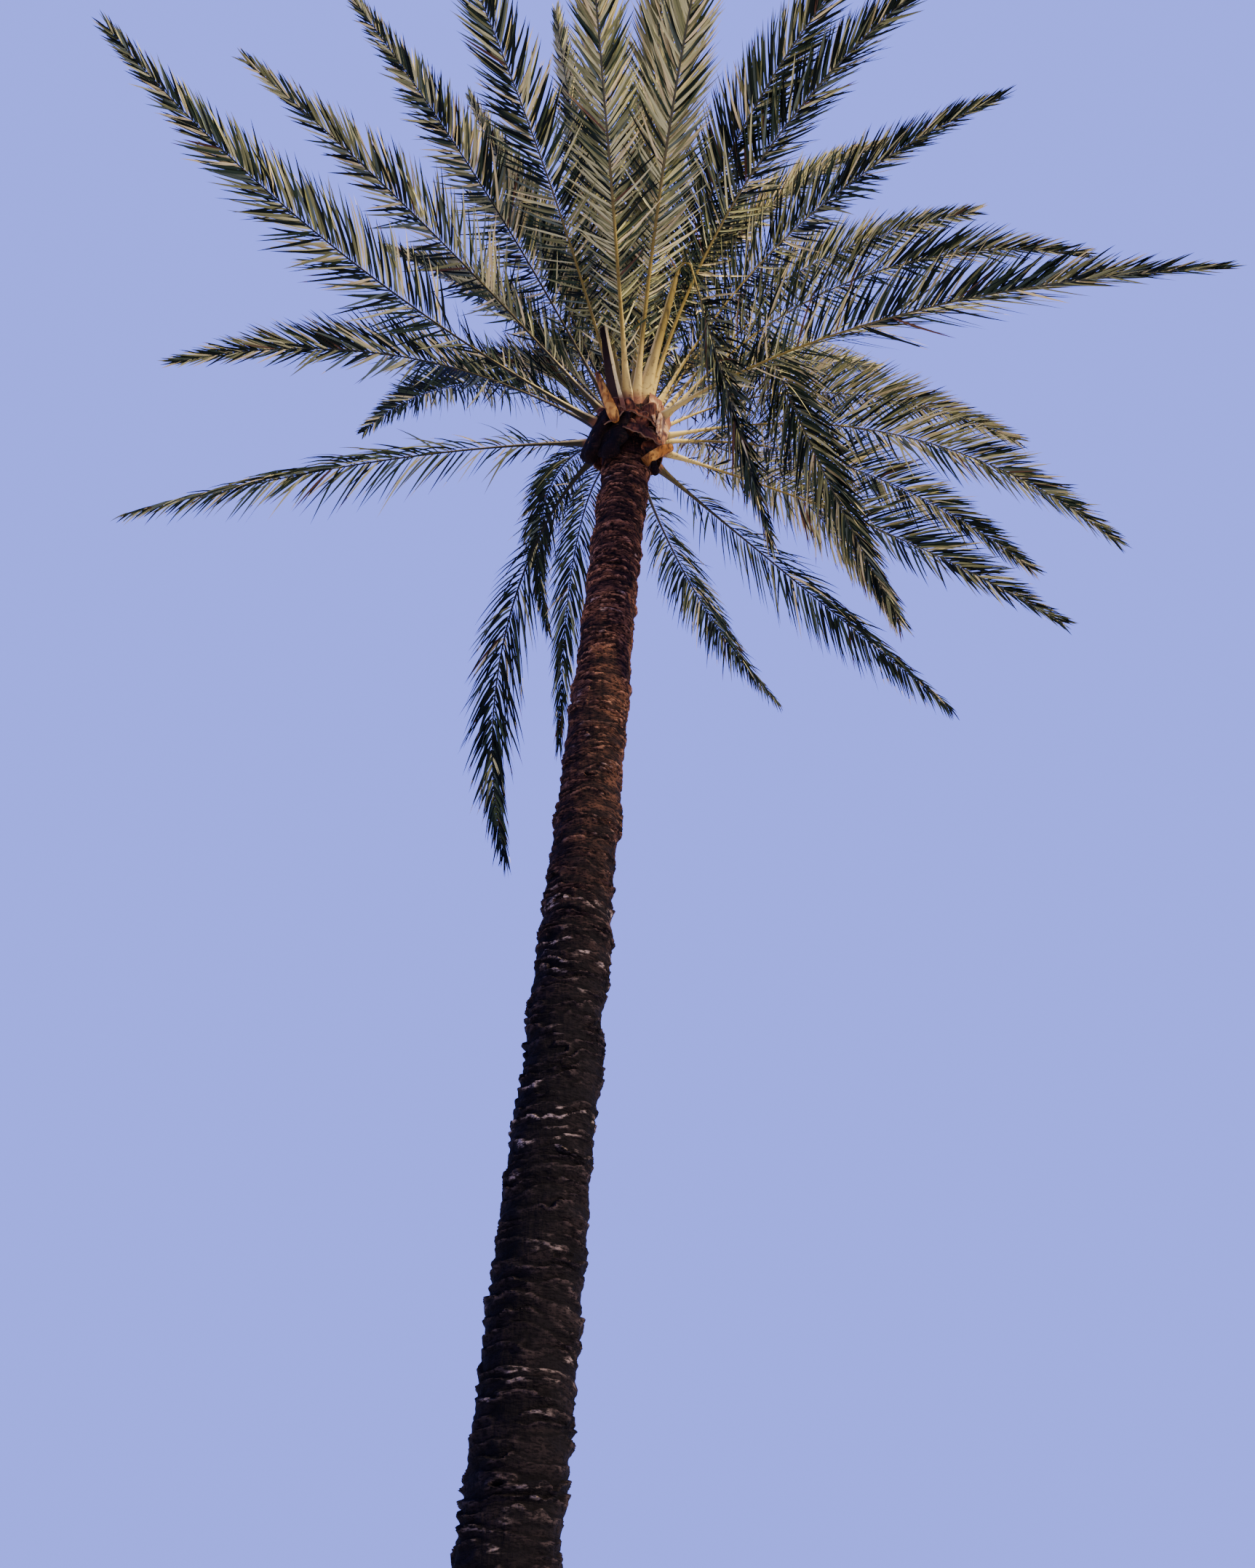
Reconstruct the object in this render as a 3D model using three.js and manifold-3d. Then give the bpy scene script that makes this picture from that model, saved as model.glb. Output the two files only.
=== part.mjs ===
// A date palm: one leaning trunk, a heart of old leaf bases and a full crown of fronds.
// Millimetres, Z up. The origin is the centre of the flat cut where the trunk meets the ground.
import * as THREE from "three";
import Module from "manifold-3d";

const wasm = await Module();
wasm.setup();

const GAP = 0.3;

// Trunk
const TRUNK_TOP = 9800;
const LEAN = 0.07;
const TRUNK_SIDES = 20;
const SCAR_ROWS = 34;
const RADIUS_LOW = 246;
const TAPER = 8.4e-3;
const FLARE = 95;
const FLARE_HEIGHT = 420;
const SCAR_DEPTH = 9;
const SCAR_LIP = 0.86;
const TRUNK_LUMP = 9;

// Heart of the crown, as pairs of height and radius
const HEART = [
  [9800, 186], [9860, 226], [9940, 262], [10040, 290], [10180, 280],
  [10330, 236], [10460, 172], [10560, 100], [10620, 40],
];
const HEART_SIDES = 18;
const SEAT_LOW = 10020;
const SEAT_SPAN = 580;
const SEAT_INNER = 30;
const SEAT_OUTER = 270;

// Old leaf bases in rows round the heart: height, radius, count, turn, wide, tall, out
const BOOT_ROWS = [
  [9806, 178, 9, 4, 122, 124, 78],
  [9880, 216, 9, 24, 128, 110, 84],
];
// A boot from foot to sawn top: depth sunk in, then shares of its width, reach and height
const BOOT_SECTIONS = [
  { sunk: 60, backWide: 0.3, reach: 0.08, frontWide: 0.22, backUp: 0, frontUp: 0 },
  { sunk: 70, backWide: 0.46, reach: 0.72, frontWide: 0.36, backUp: 0.6, frontUp: 0.5 },
  { sunk: 70, backWide: 0.42, reach: 1, frontWide: 0.34, backUp: 1, frontUp: 0.9 },
];
// Larger sawn bases that show below the crown: azimuth, height, radius, wide, tall, out
const BOOTS = [
  [236, 10010, 252, 130, 250, 84],
  [262, 9960, 254, 150, 190, 96],
  [288, 10000, 260, 160, 210, 104],
  [312, 9980, 252, 140, 180, 98],
  [222, 9900, 240, 120, 170, 74],
  [334, 9950, 252, 120, 160, 82],
];

// Fronds
const STEPS = 120;
const LEAF_PAIRS = 25;
const LEAF_LONG = 500;
const LEAF_SHORT = 0.28;
const LEAF_FULLEST = 0.58;
const LEAF_OPEN = 62;
const LEAF_CLOSE = 44;
const LEAF_LIFT = [10, 44];
const LEAF_WANDER = 8;
const BLADE_END = 0.985;
const END_LEAF = 190;
const BARE = 0.16;
const ROOT = 70;
const RIB_WIDE = 31;
const RIB_DEEP = 44;
const BEND = 1.4;
const FOLD = 0.05;
const CLEAR = 0.6;
const TRIES = [1, 0.82, 0.64, 0.46];

// name, azimuth, rise, droop, sweep, length, seat, roll; a cut is where the frond is split in two
const FRONDS = [
  { name: "a", az: 208, rise: 12, droop: -15, sweep: 16, long: 4300, seat: 24, roll: 20 },
  { name: "b", az: 212, rise: 39, droop: 15, sweep: 0, long: 3800, seat: 42, roll: -15 },
  { name: "c", az: 214, rise: 60, droop: 20, sweep: 5, long: 4300, seat: 57, roll: 10 },
  { name: "c2", az: 196, rise: 72, droop: 5, sweep: 10, long: 4200, seat: 70, roll: 0 },
  { name: "d", az: 240, rise: 60, droop: 45, sweep: 5, long: 4300, seat: 54, roll: 12 },
  { name: "e", az: 240, rise: 72, droop: 5, sweep: 10, long: 4000, seat: 74, roll: -20 },
  { name: "f", az: 263, rise: 56, droop: 25, sweep: 0, long: 4200, seat: 52, roll: 0 },
  { name: "g", az: 277, rise: 68, droop: 45, sweep: 0, long: 4300, seat: 70, roll: 10 },
  { name: "h", az: 281, rise: 62, droop: 75, sweep: 0, long: 4100, seat: 55, roll: -10 },
  { name: "i", az: 302, rise: 67, droop: 90, sweep: 5, long: 4300, seat: 70, roll: 0, cut: 0.56 },
  { name: "j", az: 311, rise: 68, droop: 90, sweep: 5, long: 4300, seat: 57, roll: 15, cut: 0.56 },
  { name: "k", az: 336, rise: 63, droop: 58, sweep: 2, long: 4150, seat: 58, roll: 15 },
  { name: "k2", az: 345, rise: 80, droop: 55, sweep: 10, long: 4150, seat: 71, roll: 0 },
  { name: "l", az: 2, rise: 70, droop: 65, sweep: -10, long: 4200, seat: 62, roll: -15 },
  { name: "m", az: 346, rise: 55, droop: 84, sweep: 7, long: 4000, seat: 40, roll: 25 },
  { name: "n", az: 328, rise: 23, droop: 55, sweep: 5, long: 4100, seat: 30, roll: 35, bend: 0.5 },
  { name: "q", az: 32, rise: 60, droop: 35, sweep: 0, long: 3900, seat: 62, roll: -20 },
  { name: "r", az: 22, rise: 50, droop: 75, sweep: -10, long: 3900, seat: 52, roll: 0 },
  { name: "s", az: 15, rise: 32, droop: 80, sweep: 0, long: 4300, seat: 37, roll: 10, cut: 0.56 },
  { name: "t", az: 31, rise: 36, droop: 75, sweep: -11, long: 4100, seat: 40, roll: -10, cut: 0.56 },
  { name: "u", az: 26, rise: 7, droop: 30, sweep: -5, long: 3800, seat: 20, roll: 15 },
  { name: "v", az: 44, rise: -3, droop: 0, sweep: 0, long: 3850, seat: 10, roll: -15 },
  { name: "w", az: 77, rise: 18, droop: 15, sweep: -20, long: 4200, seat: 20, roll: 20 },
  {
    name: "x", az: 146, rise: -5, droop: 110, sweep: -25, long: 3950, seat: 19, roll: 0,
    bend: 0.5, cut: 0.5,
  },
  { name: "y", az: 106, rise: 46, droop: 125, sweep: -15, long: 4200, seat: 40, roll: 10, cut: 0.52 },
  { name: "x2", az: 120, rise: 46, droop: 65, sweep: -40, long: 4050, seat: 54, roll: 0, cut: 0.54 },
  { name: "aa", az: 175, rise: 44, droop: 65, sweep: 5, long: 3950, seat: 44, roll: -20 },
  { name: "bb", az: 151, rise: 56, droop: 43, sweep: -21, long: 4250, seat: 56, roll: 10 },
  { name: "cc", az: 176, rise: 10, droop: 15, sweep: -10, long: 3850, seat: 16, roll: -10, bend: 0.5 },
  { name: "b2", az: 164, rise: 64, droop: 20, sweep: 0, long: 4150, seat: 71, roll: 0 },
  { name: "dd", az: 120, rise: 75, droop: 50, sweep: 0, long: 4000, seat: 76, roll: 20 },
  { name: "p2", az: 47, rise: 48, droop: 95, sweep: 0, long: 4000, seat: 44, roll: 0, cut: 0.54 },
  { name: "n1", az: 62, rise: 70, droop: 30, sweep: 0, long: 4100, seat: 66, roll: 15 },
  { name: "n2", az: 88, rise: 76, droop: 30, sweep: 0, long: 4000, seat: 78, roll: -15 },
  { name: "n4", az: 134, rise: 70, droop: 40, sweep: 0, long: 4100, seat: 46, roll: 0 },
  { name: "n5", az: 15, rise: 80, droop: 25, sweep: 0, long: 3900, seat: 78, roll: 10 },
  { name: "n6", az: 170, rise: 80, droop: 30, sweep: 0, long: 3900, seat: 82, roll: 0 },
  { name: "spear_1", az: 225, rise: 86, droop: 6, sweep: 0, long: 3000, seat: 88, roll: 0, open: 0.4 },
  { name: "spear_2", az: 60, rise: 83, droop: 10, sweep: 0, long: 2700, seat: 85, roll: 0, open: 0.4 },
  {
    name: "o", az: 297, rise: 56, droop: 0, sweep: 0, long: 4350, seat: 60, roll: 0,
    fold: 0.24, toward: 5, fall: 82, cut: 0.31,
  },
  {
    name: "p", az: 351, rise: 62, droop: 15, sweep: 0, long: 4250, seat: 50, roll: 0,
    fold: 0.3, toward: 42, fall: 71, spring: 25, cut: 0.37,
  },
];

// A sawn petiole on the near left of the heart, with its hollow side outwards
const STUB = { name: "stub", az: 248, rise: 65, droop: -4, sweep: 0, long: 650, seat: 36, roll: 0 };
const STUB_HALF_WIDE = [48, 30];
const STUB_CUTS = [0.3, 0.7, 1];
const STUB_SECTION = [[-1, -18], [0, -2], [1, -18], [0.6, 20], [-0.6, 20]];

const rad = (degrees) => (degrees * Math.PI) / 180;
const mix = (a, b, t) => a + (b - a) * t;

// A steady number from 0 to 1 for a pair of whole numbers
function chance(a, b) {
  const h = Math.sin(a * 12.9898 + b * 78.233) * 43758.5453;
  return h - Math.floor(h);
}

function ease(t) {
  const c = Math.min(1, Math.max(0, t));
  return c * c * (3 - 2 * c);
}

function material(colour, roughness) {
  return new THREE.MeshStandardMaterial({ color: colour, roughness, metalness: 0 });
}

const BARK = material(0x5a4436, 0.95);
const FIBRE = material(0x7a4f30, 0.95);
const FROND = material(0x6f7444, 0.7);
const PETIOLE = material(0xb59a5e, 0.7);

// A solid as a flat list of points and a list of triangles
function solidMesh(points, triangles) {
  const mesh = new wasm.Mesh({
    numProp: 3,
    vertProperties: new Float32Array(points.flatMap((p) => [p.x, p.y, p.z])),
    triVerts: new Uint32Array(triangles.flat()),
  });
  return new wasm.Manifold(mesh);
}

function named(name, solid, look) {
  const mesh = solid.getMesh();
  const geometry = new THREE.BufferGeometry();
  geometry.setAttribute("position", new THREE.Float32BufferAttribute(mesh.vertProperties, 3));
  geometry.setIndex(new THREE.Uint32BufferAttribute(mesh.triVerts, 1));
  const node = new THREE.Mesh(geometry, look.clone());
  node.name = name;
  return node;
}

// A stack of rings closed at both ends, each ring a list of points in turn order
function stack(rings) {
  const points = rings.flat();
  const sides = rings[0].length;
  const triangles = [];
  for (let i = 0; i + 1 < rings.length; i += 1) {
    for (let k = 0; k < sides; k += 1) {
      const a = i * sides + k;
      const b = i * sides + ((k + 1) % sides);
      triangles.push([a, b, b + sides], [a, b + sides, a + sides]);
    }
  }
  const top = (rings.length - 1) * sides;
  for (let k = 1; k + 1 < sides; k += 1) {
    triangles.push([0, k + 1, k]);
    triangles.push([top, top + k, top + k + 1]);
  }
  return solidMesh(points, triangles);
}

function ring(x, y, z, radius, sides, wobble) {
  const points = [];
  for (let k = 0; k < sides; k += 1) {
    const turn = (k * 2 * Math.PI) / sides;
    const r = radius + (wobble ? wobble(k) : 0);
    points.push(new THREE.Vector3(x + r * Math.cos(turn), y + r * Math.sin(turn), z));
  }
  return points;
}

function trunkRadius(z) {
  return RADIUS_LOW - TAPER * z + FLARE * Math.exp(-z / FLARE_HEIGHT);
}

// Leaf scars: each row swells to a lip at its top and steps back in above it
function trunkRings() {
  const rings = [];
  const pitch = (TRUNK_TOP - GAP) / SCAR_ROWS;
  for (let row = 0; row < SCAR_ROWS; row += 1) {
    const low = row * pitch;
    const high = low + pitch * (row + 1 === SCAR_ROWS ? 1 : SCAR_LIP);
    const out = SCAR_DEPTH * (0.6 + 0.8 * chance(row, 3));
    const lump = (k) => TRUNK_LUMP * (chance(row * 31 + k, 7) - 0.5);
    rings.push(ring(LEAN * low, 0, low, trunkRadius(low), TRUNK_SIDES, lump));
    rings.push(ring(LEAN * high, 0, high, trunkRadius(high) + out, TRUNK_SIDES, lump));
  }
  return rings;
}

function heartRings(grow) {
  return HEART.map(([z, radius], i) => {
    const end = i === 0 ? -grow : grow;
    const height = i === 0 || i + 1 === HEART.length ? z + end : z;
    return ring(LEAN * z, 0, height, radius + grow, HEART_SIDES);
  });
}

// One old leaf base: narrow and flush below, thick and proud at its sawn top
function boot(az, z, radius, wide, tall, out, grow) {
  const outward = new THREE.Vector3(Math.cos(rad(az)), Math.sin(rad(az)), 0);
  const side = new THREE.Vector3(-outward.y, outward.x, 0);
  const at = (along, across, up) => new THREE.Vector3(LEAN * z, 0, z + up)
    .addScaledVector(outward, radius + along)
    .addScaledVector(side, across);
  const last = BOOT_SECTIONS.length - 1;
  const rings = BOOT_SECTIONS.map((part, i) => {
    const extra = i === 0 ? -grow : (i === last ? grow : 0);
    const back = part.backWide * wide + grow;
    const front = part.frontWide * wide + grow;
    const reach = part.reach * out + grow;
    return [
      at(reach, -front, part.frontUp * tall + extra), at(reach, front, part.frontUp * tall + extra),
      at(-part.sunk - grow, back, part.backUp * tall + extra),
      at(-part.sunk - grow, -back, part.backUp * tall + extra),
    ];
  });
  return stack(rings);
}

function allBoots(grow) {
  const list = [];
  for (const [z, radius, count, turn, wide, tall, out] of BOOT_ROWS) {
    for (let k = 0; k < count; k += 1) {
      const az = turn + (k * 360) / count;
      const high = tall * (0.85 + 0.3 * chance(k, Math.round(z)));
      list.push(boot(az, z, radius, wide, high, out, grow));
    }
  }
  for (const [az, z, radius, wide, tall, out] of BOOTS) {
    list.push(boot(az, z, radius, wide, tall, out, grow));
  }
  return list;
}

function heartSolid(grow) {
  let solid = stack(heartRings(grow));
  for (const one of allBoots(grow)) {
    solid = solid.add(one);
  }
  return solid;
}

// Where a frond leaves the heart: steep fronds sit high and near the middle
function seatOf(row) {
  const z = SEAT_LOW + (SEAT_SPAN * row.seat) / 90;
  const r = SEAT_INNER + SEAT_OUTER * Math.cos(rad(row.seat)) ** 0.7;
  const az = rad(row.az);
  return new THREE.Vector3(LEAN * z + r * Math.cos(az), r * Math.sin(az), z);
}

// Elevation and azimuth of the rib at a share t of its length
function headingOf(row, t) {
  const bend = row.bend ?? BEND;
  const e = row.rise - row.droop * t ** bend;
  const a = row.az + row.sweep * t ** bend;
  if (!row.fold) {
    return [e, a];
  }
  const turned = ease((t - row.fold) / FOLD);
  const bent = row.rise - row.droop * Math.min(1, t / row.fold) ** BEND;
  const hung = (row.spring ?? 0) * Math.max(0, t - row.fold) - row.fall;
  return [mix(bent, hung, turned), mix(row.az, row.az + turnTo(row), turned)];
}

function turnTo(row) {
  return ((row.toward - row.az + 540) % 360) - 180;
}

function ribFrame(row, t) {
  const [e, a] = headingOf(row, t).map(rad);
  const along = new THREE.Vector3(Math.cos(e) * Math.cos(a), Math.cos(e) * Math.sin(a), Math.sin(e));
  const flat = new THREE.Vector3(-Math.sin(a), Math.cos(a), 0);
  const up = new THREE.Vector3().crossVectors(along, flat);
  const roll = rad(row.roll) * t;
  const side = flat.clone().multiplyScalar(Math.cos(roll)).addScaledVector(up, Math.sin(roll));
  return { along, side, up: new THREE.Vector3().crossVectors(along, side) };
}

function ribPath(row) {
  const points = [seatOf(row)];
  for (let i = 0; i < STEPS; i += 1) {
    const { along } = ribFrame(row, (i + 0.5) / STEPS);
    points.push(points[i].clone().addScaledVector(along, row.long / STEPS));
  }
  return points;
}

function pointAt(path, row, t) {
  if (t <= 0) {
    return path[0].clone().addScaledVector(ribFrame(row, 0).along, t * row.long);
  }
  const at = Math.min(t * STEPS, STEPS - 1e-6);
  const i = Math.floor(at);
  return path[i].clone().lerp(path[i + 1], at - i);
}

// Half width and depth of the rib: a broad petiole that thins to the tip
function ribSize(t) {
  const c = Math.max(0, t);
  const wide = RIB_WIDE * (0.14 + 0.42 * (1 - c) + 0.44 * Math.exp(-c / 0.07));
  const deep = RIB_DEEP * (0.2 + 0.5 * (1 - c) + 0.3 * Math.exp(-c / 0.1));
  return [wide, deep];
}

function ribCorners(path, row, t) {
  const { side, up } = ribFrame(row, Math.max(0, t));
  const [wide, deep] = ribSize(t);
  const middle = pointAt(path, row, t);
  return [
    middle.clone().addScaledVector(up, 0.5 * deep),
    middle.clone().addScaledVector(up, -0.5 * deep).addScaledVector(side, wide),
    middle.clone().addScaledVector(up, -0.5 * deep).addScaledVector(side, -wide),
  ];
}

// Leaflets are short at both ends of the blade and lean further forward near its tip
function leafLength(u) {
  return LEAF_LONG * mix(LEAF_SHORT, 1, Math.sin(Math.PI * u ** LEAF_FULLEST));
}

function leafAngle(row, u) {
  return (LEAF_OPEN - LEAF_CLOSE * u ** 1.2) * (row.open ?? 1);
}

function leafTip(path, row, t0, t1, hand, index, scale) {
  const t = (t0 + t1) / 2;
  const u = Math.max(0, (t - BARE) / (1 - BARE));
  const { along, side, up } = ribFrame(row, t);
  const angle = rad(leafAngle(row, u));
  const lift = rad(LEAF_LIFT[index % 2] + LEAF_WANDER * (chance(index, 5) - 0.5));
  const reach = leafLength(u) * (0.9 + 0.2 * chance(index, hand + 9)) * scale;
  return pointAt(path, row, t)
    .addScaledVector(along, reach * Math.cos(angle))
    .addScaledVector(side, hand * reach * Math.sin(angle) * Math.cos(lift))
    .addScaledVector(up, reach * Math.sin(angle) * Math.sin(lift));
}

// The cuts along a frond: root, bare petiole, folds if it is broken, then one per leaflet pair
function cutsOf(row) {
  const cuts = [-ROOT / row.long, 0.05, 0.12];
  if (row.fold) {
    cuts.push(row.fold - 0.02);
    for (let k = 1; k < 6; k += 1) {
      cuts.push(row.fold + (FOLD * k) / 5);
    }
  }
  const from = row.fold ? row.cut : BARE;
  const pairs = Math.round((LEAF_PAIRS * row.long * (1 - from)) / (4200 * (1 - BARE)));
  for (let k = 0; k <= pairs; k += 1) {
    cuts.push(mix(from, BLADE_END, k / pairs));
  }
  return cuts;
}

// Splits the cuts of a frond into the runs that become nodes
function runsOf(row) {
  const cuts = cutsOf(row);
  if (!row.cut) {
    return [cuts];
  }
  const near = cuts.reduce((a, b) => (Math.abs(b - row.cut) < Math.abs(a - row.cut) ? b : a));
  const inner = cuts.filter((t) => t <= near);
  const outer = cuts.filter((t) => t >= near);
  outer[0] += GAP / row.long;
  return [inner, outer];
}

function bladeStart(row) {
  return row.fold ? row.cut - 1e-6 : BARE - 1e-6;
}

function frondRuns(row) {
  const path = ribPath(row);
  return runsOf(row).map((cuts, part, runs) => ({
    row, path, cuts, part, last: part + 1 === runs.length,
    rings: cuts.map((t) => ribCorners(path, row, t)),
    leaves: [],
  }));
}

// Convex pieces are compared by separating axes
function piece(points, owner, tag) {
  const box = new THREE.Box3().setFromPoints(points).expandByScalar(CLEAR);
  return { points, box, owner, tag, axes: axesOf(points) };
}

function axesOf(points) {
  const edges = [];
  for (let i = 0; i < points.length; i += 1) {
    for (let j = i + 1; j < points.length; j += 1) {
      edges.push(points[j].clone().sub(points[i]).normalize());
    }
  }
  return edges;
}

function spread(points, axis) {
  let low = Infinity;
  let high = -Infinity;
  for (const p of points) {
    const d = p.dot(axis);
    low = Math.min(low, d);
    high = Math.max(high, d);
  }
  return [low, high];
}

function apartOn(a, b, axis) {
  const [a0, a1] = spread(a.points, axis);
  const [b0, b1] = spread(b.points, axis);
  return a1 + CLEAR < b0 || b1 + CLEAR < a0;
}

function touch(a, b) {
  if (!a.box.intersectsBox(b.box)) {
    return false;
  }
  const axis = new THREE.Vector3();
  for (const [p, q] of [[a, a], [b, b], [a, b]]) {
    for (const e of p.axes) {
      for (const f of q.axes) {
        axis.crossVectors(e, f);
        if (axis.lengthSq() > 1e-8 && apartOn(a, b, axis.normalize())) {
          return false;
        }
      }
    }
  }
  return true;
}

function limbPieces(run) {
  const list = [];
  for (let i = 0; i + 1 < run.rings.length; i += 1) {
    list.push(piece([...run.rings[i], ...run.rings[i + 1]], run.row.name, `${run.part}.${i}`));
  }
  return list;
}

// The trunk, the collar and the sawn petiole in a few plain pieces
function bodyPieces() {
  const list = [piece(stubRings().flat(), "stub", "whole")];
  const core = ring(LEAN * 9600, 0, 9600, 205, 8).concat(ring(LEAN * 9960, 0, 9960, 300, 8));
  list.push(piece(core, "heart", "collar"));
  for (let z = 0; z < 9600; z += 1200) {
    const low = ring(LEAN * z, 0, z, trunkRadius(z) + 18, 8);
    const high = ring(LEAN * (z + 1200), 0, z + 1200, trunkRadius(z + 1200) + 18, 8);
    list.push(piece(low.concat(high), "trunk", String(z)));
  }
  return list;
}

function leafPoints(run, i, hand, scale) {
  const corner = hand > 0 ? 1 : 2;
  const near = run.rings[i];
  const far = run.rings[i + 1];
  const tip = leafTip(run.path, run.row, run.cuts[i], run.cuts[i + 1], hand, i, scale);
  return [near[0], far[0], far[corner], near[corner], tip];
}

function beside(a, b) {
  return a.owner === b.owner && Math.abs(a.slot - b.slot) <= 1;
}

// Grows each leaflet at the longest share of its length that touches nothing else
function growLeaves(runs) {
  const limbs = runs.flatMap(limbPieces);
  const others = bodyPieces().concat(limbs);
  const grown = [];
  for (const run of runs) {
    for (let i = 0; i + 1 < run.cuts.length; i += 1) {
      if (run.cuts[i] < bladeStart(run.row)) {
        continue;
      }
      for (const hand of [1, -1]) {
        const leaf = firstClear(run, i, hand, others, grown);
        if (leaf) {
          run.leaves.push({ index: i, hand, tip: leaf.points[4] });
          grown.push(leaf);
        }
      }
    }
  }
}

function firstClear(run, i, hand, limbs, grown) {
  for (const scale of TRIES) {
    const leaf = piece(leafPoints(run, i, hand, scale), run.row.name, `${hand}`);
    leaf.slot = i + run.part * 100;
    const limb = limbs.some((other) => other.owner !== run.row.name && touch(leaf, other));
    if (!limb && !grown.some((other) => !beside(leaf, other) && touch(leaf, other))) {
      return leaf;
    }
  }
  return null;
}

// Triangles of one run: three faces along the rib, each leaflet standing in for its own face
function runSolid(run) {
  const points = run.rings.flat();
  const triangles = [[0, 1, 2]];
  for (let i = 0; i + 1 < run.rings.length; i += 1) {
    for (let k = 0; k < 3; k += 1) {
      const hand = k === 0 ? 1 : -1;
      const leaf = k !== 1 && run.leaves.find((l) => l.index === i && l.hand === hand);
      const quad = [i * 3 + k, i * 3 + 3 + k, i * 3 + 3 + ((k + 1) % 3), i * 3 + ((k + 1) % 3)];
      if (leaf) {
        points.push(leaf.tip);
        const top = points.length - 1;
        quad.forEach((v, n) => triangles.push([v, quad[(n + 1) % 4], top]));
      } else {
        triangles.push([quad[0], quad[1], quad[2]], [quad[0], quad[2], quad[3]]);
      }
    }
  }
  closeEnd(run, points, triangles);
  return solidMesh(points, triangles);
}

// The last run ends in a leaflet of its own, any other run in a flat cut
function closeEnd(run, points, triangles) {
  const end = (run.rings.length - 1) * 3;
  if (!run.last) {
    triangles.push([end, end + 2, end + 1]);
    return;
  }
  const t = run.cuts[run.cuts.length - 1];
  const reach = END_LEAF * (run.row.open ?? 1);
  points.push(pointAt(run.path, run.row, t).addScaledVector(ribFrame(run.row, t).along, reach));
  const tip = points.length - 1;
  triangles.push([end, tip, end + 1], [end + 1, tip, end + 2], [end + 2, tip, end]);
}

// The ribs are set clear of each other by hand, and this says where they are not
function checkRibs(runs) {
  const list = runs.flatMap(limbPieces);
  const found = [];
  list.forEach((a, i) => {
    for (const b of list.slice(i + 1)) {
      if (a.owner !== b.owner && touch(a, b)) {
        found.push(`${a.owner} ${a.tag} and ${b.owner} ${b.tag}`);
      }
    }
  });
  if (found.length) {
    throw new Error(`ribs touch: ${found.join(", ")}`);
  }
}

// The sawn petiole is hollowed along its upper face and cut square at its end
function stubRings() {
  const path = ribPath(STUB);
  return [-ROOT / STUB.long, ...STUB_CUTS].map((t) => {
    const { side, up } = ribFrame(STUB, Math.max(0, t));
    const middle = pointAt(path, STUB, t);
    const wide = mix(...STUB_HALF_WIDE, Math.max(0, t));
    return STUB_SECTION.map(([x, y]) => middle.clone()
      .addScaledVector(side, x * wide)
      .addScaledVector(up, y));
  });
}

function build() {
  const group = new THREE.Group();
  group.add(named("trunk", stack(trunkRings()), BARK));
  group.add(named("crown_heart", heartSolid(0), FIBRE));
  const around = heartSolid(GAP);
  group.add(named("cut_stub", stack(stubRings()).subtract(around), PETIOLE));
  const runs = FRONDS.flatMap(frondRuns);
  checkRibs(runs);
  growLeaves(runs);
  for (const run of runs) {
    const whole = runSolid(run);
    const solid = run.part === 0 ? whole.subtract(around) : whole;
    group.add(named(nodeName(run), solid, FROND));
  }
  return group;
}

function nodeName(run) {
  const half = run.part === 0 ? "_inner" : "_outer";
  return `frond_${run.row.name}${run.row.cut ? half : ""}`;
}

export default build();
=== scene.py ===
"""A date palm: ringed trunk, heart of sawn leaf bases, one sawn petiole and a crown of fronds.

Every length is in metres and every angle in degrees, unless a name says otherwise. The fronds
follow the same rule as the solids that they replace, with finer leaflets.
"""

import logging
import math
from dataclasses import dataclass, field
from enum import Enum

import bpy
import numpy as np
from mathutils import Matrix, Vector


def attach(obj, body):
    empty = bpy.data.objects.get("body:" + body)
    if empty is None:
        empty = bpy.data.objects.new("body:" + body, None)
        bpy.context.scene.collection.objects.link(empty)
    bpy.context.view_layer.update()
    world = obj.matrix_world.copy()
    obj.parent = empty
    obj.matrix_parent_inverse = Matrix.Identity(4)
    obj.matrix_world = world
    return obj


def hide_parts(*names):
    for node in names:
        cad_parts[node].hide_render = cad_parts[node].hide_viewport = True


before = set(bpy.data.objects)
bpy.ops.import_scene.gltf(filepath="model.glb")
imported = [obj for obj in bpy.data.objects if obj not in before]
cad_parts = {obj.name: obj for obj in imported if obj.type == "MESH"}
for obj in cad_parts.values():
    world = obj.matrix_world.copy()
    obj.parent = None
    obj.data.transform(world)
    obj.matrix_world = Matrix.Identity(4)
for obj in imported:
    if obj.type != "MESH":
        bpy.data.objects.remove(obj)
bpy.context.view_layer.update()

LOG = logging.getLogger("palm")
BODY = "root"

# The rule of the fronds, as in the solids: the stem's lean, their seats on the heart, their bend
LEAN = 0.07
SEAT_LOW = 10.02
SEAT_SPAN = 0.58
SEAT_INNER = 0.03
SEAT_OUTER = 0.27
BEND = 1.4
FOLD_SPAN = 0.05
BARE = 0.16
PATH_STEPS = 120
# The azimuth that the sun shines from
LIGHT_AZ = 326
# How near to each other two points are welded
WELD = 1e-6


def steady(low: float, high: float, values: np.ndarray) -> np.ndarray:
    """Eases values from 0 at low to 1 at high."""
    c = np.clip((np.asarray(values, float) - low) / (high - low), 0.0, 1.0)
    return c * c * (3 - 2 * c)


def round_stem(angle: np.ndarray, r: np.ndarray, z: np.ndarray) -> np.ndarray:
    """Points at angles and distances round the leaning middle of the palm, at heights."""
    return np.stack([LEAN * z + r * np.cos(angle), r * np.sin(angle), z], -1)


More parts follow.
